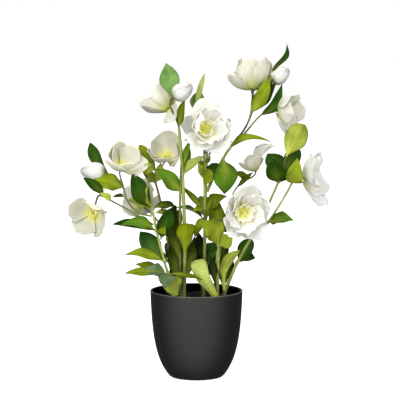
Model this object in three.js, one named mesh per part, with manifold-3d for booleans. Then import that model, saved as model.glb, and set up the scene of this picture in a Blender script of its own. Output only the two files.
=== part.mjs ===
// An artificial hellebore in a plain round pot: white double flowers and buds on thin leafy stems.
// Millimetres, +Z up. The origin is the centre of the pot's underside, and the front looks along -Y.
import * as THREE from "three";
import { mergeVertices } from "three/addons/utils/BufferGeometryUtils.js";
import Module from "manifold-3d";

const wasm = await Module();
wasm.setup();

// Pot and fill
const POT_HEIGHT = 122;
const RIM_RADIUS = 65;
const FOOT_RADIUS = 36;
const BELLY_LOW = new THREE.Vector2(58, 22);
const BELLY_HIGH = new THREE.Vector2(62, 60);
const WALL = 2.4;
const LIP = 0.7;
const POT_FLOOR = 4;
const FILL_LEVEL = 110;
const POT_SIDES = 32;
const POT_STEPS = 7;
const FILL_STEPS = 4;

// Clearance between pieces that touch, and the distance under which corners count as one
const GAP = 0.3;
const SAME_PLACE = 1e-4;

// Limbs: radius at foot and tip, sides and steps of the tapering rod
const STEM = { foot: 2.2, tip: 1.5, sides: 6, steps: 7 };
const BOUGH = { foot: 1.4, tip: 1.1, sides: 5, steps: 5 };
const STALK = { foot: 1.1, tip: 1.0, sides: 4, steps: 4 };
const STALK_LEAVING = 0.35;
const STALK_ARRIVING = 0.4;

// Leaves: each is a thin blade on a sleeve that is slipped over its stem, or on a stalk
const LEAF_THICKNESS = 0.9;
const LEAF_PETIOLE = 0.1;
const LEAF_PETIOLE_WIDTH = 0.14;
const LEAF_TIP_WIDTH = 0.05;
const LEAF_BROADEST = 0.78;
const LEAF_FULLNESS = 0.85;
const LEAF_STEPS = 3;
const LEAF_CROWDING = 0.3;
const SLIM_LEAF = 16;
const LEAF_ARCH = 0.1;
const LEAF_FOLD = 0.22;
const SLEEVE_WALL = 1.4;
const SLEEVE_LENGTH = 5;
const SLEEVE_SIDES = 5;
const SLEEVE_SEAT = 0.8;

// Flowers: two rings of petals round a heart; angles are measured from the flower's axis
const PETAL_THICKNESS = 0.9;
const PETAL_WIDTH = 0.8;
const PETAL_CLAW = 0.1;
const PETAL_FIRST = 0.02;
const PETAL_SPAN = 0.86;
const PETAL_BROADEST = 1.2;
const PETAL_FULLNESS = 0.8;
const PETAL_CUP = 0.28;
const PETAL_TWIST = 8;
const PETAL_START = 4.2;
const PETAL_ROOM = 0.98;
const PETAL_ROOT_ANGLE = 72;
const PETALS_IN_RING = 5;
const HEART_RADIUS = 6.2;
const PETAL_RINGS = [
  { scale: 1, closing: 0, lift: 0, turned: 0, columns: 2, steps: 3 },
  { scale: 0.72, closing: 14, lift: 2.4, turned: 0.5, columns: 1, steps: 2 },
];

// Buds: girth and taper of the egg as shares of its length, and how much of it stands past its seat
const BUD_GIRTH = 0.38;
const BUD_TAPER = 0.25;
const BUD_SEAT = 0.9;
const BUD_SIDES = 9;
const BUD_STEPS = 7;

// Directions that the upper side of a leaf can look in
const LOOKS = {
  up: [0, 0, 1],
  front: [0, -1, 0.4],
  back: [0, 1, 0.4],
  left: [-1, -0.3, 0.4],
  slant: [0, -0.8, 0.6],
};

const COLOURS = { pot: 0x24251f, fill: 0x2b2c1e, stem: 0x5f7a2f, leaf: 0x3f6b2a, bloom: 0xf2f0e4 };

// Stems stand on the fill: foot [x, y], then a point half-way and the tip
const STEMS = {
  stem_centre_left: { foot: [-18, -12], middle: [-17, -10, 225], tip: [-24, -6, 349] },
  stem_centre: { foot: [10, 14], middle: [12, 6, 225], tip: [11, -6, 316] },
  stem_right: { foot: [36, -4], middle: [57, -8, 162], tip: [82, -14, 205] },
  stem_front: { foot: [29, -20], middle: [30, -22, 150], tip: [31, -22, 196] },
  stem_left: { foot: [-27, -14], middle: [-52, -26, 196], tip: [-68, -14, 281] },
  stem_left_back: { foot: [-33, 12], middle: [-42, 20, 200], tip: [-59, 20, 276] },
  stem_back: { foot: [8, 38], middle: [12, 58, 205], tip: [15, 76, 298] },
};

// Boughs leave a limb at a share of its length; at 1 they carry it on from its tip
const BOUGHS = {
  bough_upper_right: { on: "stem_centre", at: 0.68, middle: [37, 9, 306], tip: [60, 14, 338] },
  bough_right_high: { on: "stem_right", at: 1, middle: [99, -6, 240], tip: [118, -4, 283] },
  bough_right_low: { on: "stem_right", at: 0.94, middle: [104, -17, 226], tip: [132, -10, 272] },
  bough_front: { on: "stem_front", at: 1, middle: [44, -26, 218], tip: [56, -32, 230] },
  bough_back_right: { on: "stem_front", at: 0.7, middle: [46, 14, 243], tip: [70, 38, 274] },
  bough_far_left: { on: "stem_left", at: 0.63, middle: [-96, -33, 240], tip: [-131, -36, 259] },
  bough_left_middle: { on: "stem_left", at: 0.7, middle: [-88, -22, 240], tip: [-101, -15, 266] },
  bough_left_shade: { on: "stem_left_back", at: 0.48, middle: [-56, 32, 217], tip: [-73, 50, 232] },
  bough_back_low: { on: "stem_back", at: 0.42, middle: [42, 74, 211], tip: [61, 78, 226] },
};

// Leaf rows: heading (0 right, 90 back, 180 left, 270 front), rise, length, width, look of the upper side
const WHORLS = {
  leaves_centre_left_foot: { on: "stem_centre_left", at: 0.17, leaves: [[100, 59, 60, 22, "front"]] },
  leaves_centre_left_low: { on: "stem_centre_left", at: 0.3, leaves: [[268, 65, 48, 26, "back"]] },
  leaves_centre_left_mid: { on: "stem_centre_left", at: 0.65, leaves: [[205, 43, 48, 24, "front"]] },
  leaves_centre_left_high: {
    on: "stem_centre_left",
    at: 0.75,
    leaves: [
      [322, 26, 42, 20, "slant"],
      [59, 65, 40, 14, "front"],
    ],
  },
  leaves_centre_foot: {
    on: "stem_centre",
    at: 0.16,
    leaves: [
      [122, 59, 50, 24, "front"],
      [56, 37, 33, 18, "front"],
      [29, 49, 55, 20, "front"],
    ],
  },
  leaves_centre_mid: {
    on: "stem_centre",
    at: 0.55,
    leaves: [
      [180, 46, 43, 17, "slant"],
      [321, 30, 43, 26, "slant"],
      [334, -18, 34, 20, "slant"],
      [241, 5, 31, 14, "slant"],
    ],
  },
  leaves_centre_high: {
    on: "stem_centre",
    at: 0.77,
    leaves: [
      [14, 54, 29, 20, "front"],
      [142, 69, 27, 12, "front"],
    ],
  },
  leaves_upper_right_low: { on: "bough_upper_right", at: 0.5, leaves: [[292, -61, 50, 28, "front"]] },
  leaves_upper_right_high: { on: "bough_upper_right", at: 0.78, leaves: [[337, 10, 57, 16, "up"]] },
  leaves_right_foot: { on: "stem_right", at: 0.1, leaves: [[316, 59, 64, 22, "back"]] },
  leaves_right_mid: {
    on: "stem_right",
    at: 0.5,
    leaves: [
      [55, 38, 49, 22, "front"],
      [48, 9, 38, 16, "slant"],
    ],
  },
  leaves_right_low: { on: "bough_right_low", at: 0.42, leaves: [[337, 8, 36, 20, "slant"]] },
  leaves_front_foot: { on: "stem_front", at: 0.07, leaves: [[219, 51, 70, 28, "back"]] },
  leaves_front_high: {
    on: "stem_front",
    at: 0.92,
    leaves: [
      [224, 48, 47, 26, "back"],
      [312, 23, 34, 24, "slant"],
    ],
  },
  leaves_left_foot: { on: "stem_left", at: 0.04, leaves: [[262, 40, 45, 24, "back"]] },
  leaves_left_low: {
    on: "stem_left",
    at: 0.22,
    leaves: [
      [186, 19, 46, 14, "slant"],
      [203, 5, 62, 15, "slant"],
      [212, 6, 38, 20, "slant"],
      [334, -12, 52, 9, "slant"],
      [266, -8, 44, 20, "slant"],
    ],
  },
  leaves_left_mid: {
    on: "stem_left",
    at: 0.33,
    leaves: [
      [153, 48, 55, 24, "front"],
      [206, 17, 58, 17, "slant"],
    ],
  },
  leaves_left_fork: {
    on: "stem_left",
    at: 0.58,
    leaves: [
      [216, 10, 48, 22, "slant"],
      [296, -7, 26, 16, "slant"],
      [168, -4, 60, 15, "slant"],
    ],
  },
  leaves_left_top: {
    on: "stem_left",
    at: 0.76,
    leaves: [
      [178, 62, 54, 24, "front"],
      [262, 58, 46, 12, "left"],
      [165, 12, 46, 17, "back"],
      [40, 0, 38, 15, "slant"],
    ],
  },
  leaves_left_back_high: { on: "stem_left_back", at: 0.45, leaves: [[310, 72, 52, 23, "front"]] },
  leaves_left_back_low: {
    on: "stem_left_back",
    at: 0.25,
    leaves: [
      [150, 30, 50, 20, "up"],
      [95, 35, 46, 20, "up"],
    ],
  },
  leaves_back_foot: {
    on: "stem_back",
    at: 0.22,
    leaves: [
      [60, 35, 50, 22, "up"],
      [125, 30, 52, 22, "up"],
      [175, 40, 40, 18, "up"],
    ],
  },
  leaves_back_mid: {
    on: "stem_back",
    at: 0.56,
    leaves: [
      [95, 35, 48, 22, "up"],
      [160, 20, 46, 20, "up"],
      [20, 50, 42, 18, "up"],
    ],
  },
};

// Stalks of the sprays: the heart of the bloom, the heading and rise it faces, its petals' length and their
// angle at the tip, then leaf rows, which start with a share of the stalk's length. A shoot has leaves only.
const bloom = (heart, face, petalLength, open, leaves = []) => ({ heart, face, petalLength, open, leaves });
const closed = (heart, face, budLength, leaves = []) => ({ heart, face, budLength, leaves });
const shoot = (heart, face, leaves) => ({ heart, face, leaves });

// Sprays grow on from a limb's tip, or from its side at a share of its length
const SPRAYS = {
  spray_top_left: {
    on: "stem_centre_left",
    at: 1,
    stalks: [
      bloom([-38, 16, 379], [115, 14], 40, 26, [[0.1, 316, 70, 43, 14, "left"]]),
      closed([-31, -6, 394], [352, 33], 32, [[0.95, 108, 64, 52, 28, "front"]]),
    ],
  },
  spray_centre: {
    on: "stem_centre",
    at: 1,
    stalks: [
      bloom([14, -26, 353], [268, 6], 41, 22),
      shoot([-3, 8, 380], [100, 80], [
        [0.9, 16, 75, 55, 11, "front"],
        [0.9, 60, 72, 30, 20, "front"],
      ]),
    ],
  },
  spray_top_right: {
    on: "bough_upper_right",
    at: 1,
    stalks: [
      bloom([79, 28, 407], [90, 76], 47, 4, [[0.62, 330, 51, 52, 28, "back"]]),
      closed([107, 24, 415], [5, 36], 30, [[0.93, 28, 62, 60, 12, "front"]]),
    ],
  },
  spray_right_upper: {
    on: "bough_upper_right",
    at: 0.9,
    stalks: [bloom([113, 4, 375], [325, -12], 42, 20, [[0.62, 340, 55, 56, 24, "front"]])],
  },
  spray_right_leafy: {
    on: "bough_right_high",
    at: 1,
    stalks: [
      shoot([126, -19, 306], [330, 65], [
        [0.96, 324, 59, 62, 33, "back"],
        [0.1, 117, 44, 38, 26, "front"],
        [0.2, 45, 38, 46, 26, "front"],
      ]),
    ],
  },
  spray_right_bloom: {
    on: "bough_right_low",
    at: 1,
    stalks: [bloom([150, 6, 277], [15, 5], 46, 20, [[0.2, 294, 59, 42, 20, "back"]])],
  },
  spray_front: {
    on: "bough_front",
    at: 1,
    stalks: [bloom([65, -42, 237], [280, 5], 43, 28)],
  },
  spray_back_right: {
    on: "bough_back_right",
    at: 1,
    stalks: [bloom([81, 46, 285], [40, 60], 40, 10, [[0.3, 200, 20, 26, 12, "slant"]])],
  },
  spray_left_middle: {
    on: "bough_left_middle",
    at: 1,
    stalks: [
      bloom([-106, -6, 294], [305, 52], 40, 18, [[0.1, 215, 14, 50, 27, "slant"]]),
      closed([-128, -12, 287], [187, 10], 34, [[0.8, 151, 54, 55, 17, "front"]]),
    ],
  },
  spray_left_inner: {
    on: "stem_left_back",
    at: 1,
    stalks: [bloom([-52, 26, 303], [296, 30], 41, 16, [[0.3, 165, 58, 46, 16, "front"]])],
  },
  spray_far_left: {
    on: "bough_far_left",
    at: 1,
    stalks: [bloom([-134, -42, 242], [239, -27], 41, 16, [[0.1, 150, 38, 40, 17, "front"]])],
  },
  spray_left_shade: {
    on: "bough_left_shade",
    at: 1,
    stalks: [bloom([-78, 62, 239], [102, 12], 39, 24)],
  },
  spray_back_top: {
    on: "stem_back",
    at: 1,
    stalks: [
      bloom([15, 84, 335], [88, 20], 44, 26, [
        [0.1, 10, 35, 44, 20, "up"],
        [0.2, 170, 35, 40, 18, "up"],
      ]),
    ],
  },
  spray_back_low: {
    on: "bough_back_low",
    at: 1,
    stalks: [bloom([69, 88, 234], [75, 8], 44, 26)],
  },
  spray_left_tip: {
    on: "stem_left",
    at: 1,
    stalks: [shoot([-70, -12, 287], [120, 75], [[0.8, 306, 52, 22, 14, "back"]])],
  },
};

const radians = THREE.MathUtils.degToRad;
const vector = (values) => new THREE.Vector3(...values);

// Unit vector of a heading and a rise in degrees
function pointing(heading, rise) {
  const level = Math.cos(radians(rise));
  return new THREE.Vector3(
    level * Math.cos(radians(heading)),
    level * Math.sin(radians(heading)),
    Math.sin(radians(rise)),
  );
}

// Part of a direction that is square to an axis
function squareTo(direction, axis) {
  return direction.clone().addScaledVector(axis, -direction.dot(axis)).normalize();
}

// Moves every corner of a geometry by a rule on its coordinates
function reshape(geometry, rule) {
  const places = geometry.getAttribute("position");
  const corner = new THREE.Vector3();
  for (let i = 0; i < places.count; i += 1) {
    corner.fromBufferAttribute(places, i);
    const moved = rule(corner);
    places.setXYZ(i, moved.x, moved.y, moved.z);
  }
  return geometry;
}

function solidFrom(geometry) {
  const bare = geometry.clone();
  bare.deleteAttribute("normal");
  bare.deleteAttribute("uv");
  const merged = mergeVertices(bare, SAME_PLACE);
  return new wasm.Manifold(
    new wasm.Mesh({
      numProp: 3,
      vertProperties: new Float32Array(merged.getAttribute("position").array),
      triVerts: new Uint32Array(merged.index.array),
    }),
  );
}

// Joins shapes into one closed body; sealed hollows are filled and loose scraps dropped
function fuse(geometries) {
  const joined = geometries.map(solidFrom).reduce((sum, next) => sum.add(next));
  const bodies = joined.decompose().sort((a, b) => b.volume() - a.volume());
  const mesh = bodies[0].getMesh();
  const geometry = new THREE.BufferGeometry();
  geometry.setAttribute("position", new THREE.BufferAttribute(new Float32Array(mesh.vertProperties), 3));
  geometry.setIndex(new THREE.BufferAttribute(new Uint32Array(mesh.triVerts), 1));
  return geometry;
}

// Quadratic curve from start to tip that passes through the middle point half-way
function bow(start, middle, tip) {
  const pull = middle.clone().multiplyScalar(2).addScaledVector(start, -0.5).addScaledVector(tip, -0.5);
  return new THREE.QuadraticBezierCurve3(start, pull, tip);
}

// A tapering rod along a curve; a flat foot is cut level with the ground
function rod(curve, size, flatFoot = false) {
  const chord = curve.getPoint(1).sub(curve.getPoint(0)).normalize();
  const level = Math.abs(chord.y) > Math.abs(chord.z);
  const aside = level ? new THREE.Vector3(0, 0, 1) : new THREE.Vector3(0, 1, 0);
  const foot = curve.getPoint(0);
  const straight = new THREE.CylinderGeometry(size.tip, size.foot, 1, size.sides, size.steps);
  return reshape(straight, (corner) => {
    const share = corner.y + 0.5;
    const along = curve.getTangent(share);
    const across = along.clone().cross(aside).normalize();
    const up = across.clone().cross(along);
    const place = curve.getPoint(share).addScaledVector(across, corner.x).addScaledVector(up, corner.z);
    if (flatFoot && share === 0) {
      place.z = foot.z;
    }
    return place;
  });
}

// Width of a leaf at a share of its length: a narrow petiole, then an ovate blade with a pointed tip
function leafWidth(share) {
  if (share <= LEAF_PETIOLE) {
    return LEAF_PETIOLE_WIDTH;
  }
  const blade = (share - LEAF_PETIOLE) / (1 - LEAF_PETIOLE);
  return Math.max(LEAF_TIP_WIDTH, Math.sin(Math.PI * blade ** LEAF_BROADEST) ** LEAF_FULLNESS);
}

function leaf(base, heading, rise, length, width, look) {
  const along = pointing(heading, rise);
  const up = squareTo(vector(LOOKS[look]), along);
  const across = along.clone().cross(up);
  const slab = new THREE.BoxGeometry(1, 1, 1, width < SLIM_LEAF ? 1 : 2, LEAF_STEPS, 1);
  return reshape(slab, (corner) => {
    const step = corner.y + 0.5;
    const share = step * (1 - LEAF_CROWDING + LEAF_CROWDING * step);
    const side = 2 * corner.x;
    const half = 0.5 * width * leafWidth(share);
    const arch = LEAF_ARCH * length * 4 * share * (1 - share);
    const height = arch + LEAF_FOLD * half * Math.abs(side) + LEAF_THICKNESS * corner.z;
    return base
      .clone()
      .addScaledVector(along, length * share)
      .addScaledVector(across, half * side)
      .addScaledVector(up, height);
  });
}

// Width of a petal at a share of its length: a narrow claw and a broad rounded end
function petalWidth(share) {
  const place = (PETAL_FIRST + PETAL_SPAN * share) ** PETAL_BROADEST;
  return PETAL_CLAW + (1 - PETAL_CLAW) * Math.sin(Math.PI * place) ** PETAL_FULLNESS;
}

// A petal bends from its root angle to its tip angle, and keeps to its own share of the ring
function petal(heart, axis, outwards, length, tipAngle, columns, steps) {
  const across = axis.clone().cross(outwards);
  const rootAngle = radians(PETAL_ROOT_ANGLE);
  const bend = tipAngle - rootAngle;
  const slab = new THREE.BoxGeometry(1, 1, 1, columns, steps, 1);
  return reshape(slab, (corner) => {
    const share = corner.y + 0.5;
    const side = -2 * corner.x;
    const angle = rootAngle + bend * share;
    const forward = (length * (Math.sin(angle) - Math.sin(rootAngle))) / bend;
    const outward = PETAL_START + (length * (Math.cos(rootAngle) - Math.cos(angle))) / bend;
    const room = outward * Math.tan(Math.PI / PETALS_IN_RING);
    const half = Math.min(0.5 * PETAL_WIDTH * length * petalWidth(share), PETAL_ROOM * room);
    const overlap = half * side * Math.tan(radians(PETAL_TWIST));
    const height = PETAL_CUP * half * side * side + overlap + PETAL_THICKNESS * corner.z;
    return heart
      .clone()
      .addScaledVector(axis, forward + height * Math.sin(angle))
      .addScaledVector(outwards, outward - height * Math.cos(angle))
      .addScaledVector(across, half * side);
  });
}

function flower(heart, face, { petalLength, open }) {
  const axis = pointing(...face);
  const up = squareTo(new THREE.Vector3(0, 0, 1), axis);
  const across = axis.clone().cross(up);
  const pieces = [new THREE.IcosahedronGeometry(HEART_RADIUS).translate(heart.x, heart.y, heart.z)];
  for (const { scale, closing, lift, turned, columns, steps } of PETAL_RINGS) {
    const start = heart.clone().addScaledVector(axis, lift);
    for (let i = 0; i < PETALS_IN_RING; i += 1) {
      const turn = (2 * Math.PI * (i + turned)) / PETALS_IN_RING;
      const outwards = up.clone().multiplyScalar(Math.cos(turn)).addScaledVector(across, Math.sin(turn));
      pieces.push(petal(start, axis, outwards, scale * petalLength, radians(open - closing), columns, steps));
    }
  }
  return pieces;
}

// A closed bud: an egg with its blunt end on the stalk
function bud(heart, face, length) {
  const axis = pointing(...face);
  const turn = new THREE.Quaternion().setFromUnitVectors(new THREE.Vector3(0, 1, 0), axis);
  const egg = reshape(new THREE.SphereGeometry(1, BUD_SIDES, BUD_STEPS), (corner) => {
    const girth = BUD_GIRTH * length * (1 - BUD_TAPER * corner.y);
    return new THREE.Vector3(girth * corner.x, 0.5 * length * (corner.y + BUD_SEAT), girth * corner.z);
  });
  return egg.applyQuaternion(turn).translate(heart.x, heart.y, heart.z);
}

// Every limb as it is made: its curve and its radius at foot and tip
const limbs = {};

function radiusAt(limb, share) {
  return THREE.MathUtils.lerp(limb.size.foot, limb.size.tip, share);
}

// Direction in which a new limb leaves its host to reach a goal
function leavingFor(host, share, goal) {
  return goal.clone().sub(host.curve.getPoint(share)).normalize();
}

// Where a new limb starts, clear of its host: past the host's tip, or off the side that it leaves by
function startOn(host, share, leaving, radius) {
  const place = host.curve.getPoint(share);
  const along = host.curve.getTangent(share);
  if (share === 1) {
    return place.addScaledVector(along, GAP + radius * leaving.clone().cross(along).length());
  }
  const aside = squareTo(leaving, along);
  const tilt = Math.abs(leaving.dot(along));
  return place.addScaledVector(aside, radiusAt(host, share) + GAP + radius * tilt);
}

const plant = new THREE.Group();

// Adds a named mesh; its own origin is the place where the piece is held
function addPiece(group, name, geometry, held, look) {
  geometry.translate(-held.x, -held.y, -held.z);
  const mesh = new THREE.Mesh(geometry, new THREE.MeshStandardMaterial(look));
  mesh.name = name;
  mesh.position.copy(held);
  group.add(mesh);
}

function potSide(inset, low, high, steps) {
  const rise = new THREE.CubicBezierCurve(
    new THREE.Vector2(FOOT_RADIUS - inset, low),
    new THREE.Vector2(BELLY_LOW.x - inset, BELLY_LOW.y + low),
    new THREE.Vector2(BELLY_HIGH.x - inset, BELLY_HIGH.y),
    new THREE.Vector2(RIM_RADIUS - inset, POT_HEIGHT),
  );
  return rise.getPoints(steps).filter((point) => point.y < high);
}

function lathe(profile) {
  return new THREE.LatheGeometry(profile, POT_SIDES).rotateX(Math.PI / 2);
}

function addPot(group) {
  const outside = potSide(0, 0, POT_HEIGHT - LIP, POT_STEPS);
  const inside = potSide(WALL, POT_FLOOR, POT_HEIGHT - LIP, POT_STEPS).reverse();
  const rim = [
    new THREE.Vector2(RIM_RADIUS, POT_HEIGHT - LIP),
    new THREE.Vector2(RIM_RADIUS - LIP, POT_HEIGHT),
    new THREE.Vector2(RIM_RADIUS - WALL + LIP, POT_HEIGHT),
    new THREE.Vector2(RIM_RADIUS - WALL, POT_HEIGHT - LIP),
  ];
  const profile = [new THREE.Vector2(0, 0), ...outside, ...rim, ...inside, new THREE.Vector2(0, POT_FLOOR)];
  const shell = lathe(profile);
  addPiece(group, "pot", shell, new THREE.Vector3(), { color: COLOURS.pot, roughness: 0.55, metalness: 0 });
}

function addFill(group) {
  const inset = WALL + GAP;
  const side = potSide(inset, POT_FLOOR + GAP, FILL_LEVEL, FILL_STEPS);
  const edge = new THREE.Vector2(side.at(-1).x, FILL_LEVEL);
  const profile = [new THREE.Vector2(0, POT_FLOOR + GAP), ...side, edge, new THREE.Vector2(0, FILL_LEVEL)];
  const held = new THREE.Vector3(0, 0, POT_FLOOR + GAP);
  addPiece(group, "pot_fill", lathe(profile), held, { color: COLOURS.fill, roughness: 0.95, metalness: 0 });
}

const STEM_LOOK = { color: COLOURS.stem, roughness: 0.6, metalness: 0 };
const LEAF_LOOK = { color: COLOURS.leaf, roughness: 0.5, metalness: 0 };
const BLOOM_LOOK = { color: COLOURS.bloom, roughness: 0.7, metalness: 0 };

function addStems(group) {
  for (const [name, { foot, middle, tip }] of Object.entries(STEMS)) {
    const start = new THREE.Vector3(...foot, FILL_LEVEL + GAP);
    const curve = bow(start, vector(middle), vector(tip));
    limbs[name] = { curve, size: STEM };
    addPiece(group, name, rod(curve, STEM, true), start, STEM_LOOK);
  }
}

function addBoughs(group) {
  for (const [name, { on, at, middle, tip }] of Object.entries(BOUGHS)) {
    const leaving = leavingFor(limbs[on], at, vector(middle));
    const start = startOn(limbs[on], at, leaving, BOUGH.foot);
    const curve = bow(start, vector(middle), vector(tip));
    limbs[name] = { curve, size: BOUGH };
    addPiece(group, name, rod(curve, BOUGH), start, STEM_LOOK);
  }
}

// A short sleeve slipped over a limb, clear of it all round
function sleeve(limb, share) {
  const sharpest = Math.cos(Math.PI / SLEEVE_SIDES);
  const inner = (radiusAt(limb, share) + GAP) / sharpest;
  const outer = inner + SLEEVE_WALL;
  const low = -SLEEVE_LENGTH / 2;
  const high = SLEEVE_LENGTH / 2;
  const corners = [
    [inner, low],
    [outer, low],
    [outer, high],
    [inner, high],
    [inner, low],
  ];
  const ring = new THREE.LatheGeometry(corners.map((pair) => new THREE.Vector2(...pair)), SLEEVE_SIDES);
  const along = limb.curve.getTangent(share);
  const place = limb.curve.getPoint(share);
  ring.applyQuaternion(new THREE.Quaternion().setFromUnitVectors(new THREE.Vector3(0, 1, 0), along));
  return ring.translate(place.x, place.y, place.z);
}

function addWhorls(group) {
  for (const [name, { on, at, leaves }] of Object.entries(WHORLS)) {
    const limb = limbs[on];
    const place = limb.curve.getPoint(at);
    const along = limb.curve.getTangent(at);
    const pieces = [sleeve(limb, at)];
    for (const [heading, rise, ...sizes] of leaves) {
      const outwards = squareTo(pointing(heading, rise), along);
      const reach = radiusAt(limb, at) + GAP + SLEEVE_SEAT * SLEEVE_WALL;
      const base = place.clone().addScaledVector(outwards, reach);
      pieces.push(leaf(base, heading, rise, ...sizes));
    }
    addPiece(group, name, fuse(pieces), place, LEAF_LOOK);
  }
}

// A stalk leaves its limb in a given direction and comes into the heart from behind
function stalkCurve(start, direction, heart, face) {
  const reach = start.distanceTo(heart);
  const leaving = start.clone().addScaledVector(direction, STALK_LEAVING * reach);
  const arriving = heart.clone().addScaledVector(pointing(...face), -STALK_ARRIVING * reach);
  return new THREE.CubicBezierCurve3(start, leaving, arriving, heart);
}

function addSprays(group) {
  for (const [name, { on, at, stalks }] of Object.entries(SPRAYS)) {
    const pieces = [];
    const host = limbs[on];
    const leaving = at === 1 ? host.curve.getTangent(1) : leavingFor(host, at, vector(stalks[0].heart));
    const start = startOn(host, at, leaving, STALK.foot);
    for (const stalk of stalks) {
      const end = vector(stalk.heart);
      const curve = stalkCurve(start, leaving, end, stalk.face);
      pieces.push(rod(curve, STALK));
      if (stalk.petalLength) {
        pieces.push(...flower(end, stalk.face, stalk));
      }
      if (stalk.budLength) {
        pieces.push(bud(end, stalk.face, stalk.budLength));
      }
      for (const [share, ...sizes] of stalk.leaves) {
        pieces.push(leaf(curve.getPoint(share), ...sizes));
      }
    }
    const blooming = stalks.some(({ petalLength }) => petalLength);
    addPiece(group, name, fuse(pieces), start, blooming ? BLOOM_LOOK : LEAF_LOOK);
  }
}

addPot(plant);
addFill(plant);
addStems(plant);
addBoughs(plant);
addWhorls(plant);
addSprays(plant);

export default plant;
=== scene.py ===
"""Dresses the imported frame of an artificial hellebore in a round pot, on a pale studio floor."""

import math

import bpy
import numpy as np
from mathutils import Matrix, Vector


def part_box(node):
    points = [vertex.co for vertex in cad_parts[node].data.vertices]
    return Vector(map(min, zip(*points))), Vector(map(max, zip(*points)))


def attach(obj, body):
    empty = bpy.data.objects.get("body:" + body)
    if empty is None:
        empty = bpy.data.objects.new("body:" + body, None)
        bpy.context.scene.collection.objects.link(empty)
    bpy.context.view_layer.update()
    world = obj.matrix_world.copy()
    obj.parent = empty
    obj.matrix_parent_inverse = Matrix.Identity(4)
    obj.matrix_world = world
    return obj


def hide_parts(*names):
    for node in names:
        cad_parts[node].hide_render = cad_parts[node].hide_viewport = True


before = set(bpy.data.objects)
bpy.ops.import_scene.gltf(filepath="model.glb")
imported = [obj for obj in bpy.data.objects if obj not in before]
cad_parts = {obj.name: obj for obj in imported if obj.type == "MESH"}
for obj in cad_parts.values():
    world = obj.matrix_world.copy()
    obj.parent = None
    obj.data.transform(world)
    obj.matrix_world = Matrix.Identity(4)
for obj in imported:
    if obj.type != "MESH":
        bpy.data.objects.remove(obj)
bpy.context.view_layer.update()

bl_info = {
    "name": "Potted Hellebore",
    "version": (1, 0, 0),
    "blender": (4, 5, 0),
    "location": "View3D > Sidebar > Hellebore",
    "description": "Builds the visible pieces of an artificial hellebore in a plain pot",
    "category": "Object",
}

MM = 0.001
BODY = "root"
SEED = 7

POT_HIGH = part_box("pot")[1]
FILL_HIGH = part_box("pot_fill")[1]

# Clearance that the frame leaves between pieces that touch, in millimetres
GAP = 0.3

# Stems stand on the fill: foot [x, y], a point half-way and the tip, in millimetres
STEMS = {
    "stem_centre_left": ((-18, -12), (-17, -10, 225), (-24, -6, 349)),
    "stem_centre": ((10, 14), (12, 6, 225), (11, -6, 316)),
    "stem_right": ((36, -4), (57, -8, 162), (82, -14, 205)),
    "stem_front": ((29, -20), (30, -22, 150), (31, -22, 196)),
    "stem_left": ((-27, -14), (-52, -26, 196), (-68, -14, 281)),
    "stem_left_back": ((-33, 12), (-42, 20, 200), (-59, 20, 276)),
    "stem_back": ((8, 38), (12, 58, 205), (15, 76, 298)),
}

# Boughs: the limb they leave, the share of its length, a point half-way and the tip
BOUGHS = {
    "bough_upper_right": ("stem_centre", 0.68, (37, 9, 306), (60, 14, 338)),
    "bough_right_high": ("stem_right", 1, (99, -6, 240), (118, -4, 283)),
    "bough_right_low": ("stem_right", 0.94, (104, -17, 226), (132, -10, 272)),
    "bough_front": ("stem_front", 1, (44, -26, 218), (56, -32, 230)),
    "bough_back_right": ("stem_front", 0.7, (46, 14, 243), (70, 38, 274)),
    "bough_far_left": ("stem_left", 0.63, (-96, -33, 240), (-131, -36, 259)),
    "bough_left_middle": ("stem_left", 0.7, (-88, -22, 240), (-101, -15, 266)),
    "bough_left_shade": ("stem_left_back", 0.48, (-56, 32, 217), (-73, 50, 232)),
    "bough_back_low": ("stem_back", 0.42, (42, 74, 211), (61, 78, 226)),
}

# Usual settings of a leaf
BLADE = {
    "at": 1.0,
    "bend": 0.0,
    "sway": 0.0,
    "broadest": 0.42,
    "arch": 1.0,
    "point": 0.0,
    "stalk": 0.1,
    "swing": 0.0,
}


def blade(heading, rise, long, wide, look, tint, **settings):
    """Row of a leaf: heading (0 right, 90 back), rise, length, width, look of its upper side and tint.

    A stalk's leaf starts at a share of the stalk. A leaf bends, sways to one side and swings to both by
    shares of its length. It is broadest at a share of its length, arches as a multiple of what leaves do,
    is pointed more or less and starts at a share of its width.
    """
    row = {"way": (heading, rise), "long": long, "wide": wide, "look": look, "tint": tint}
    return {**row, **BLADE, **settings}


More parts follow.
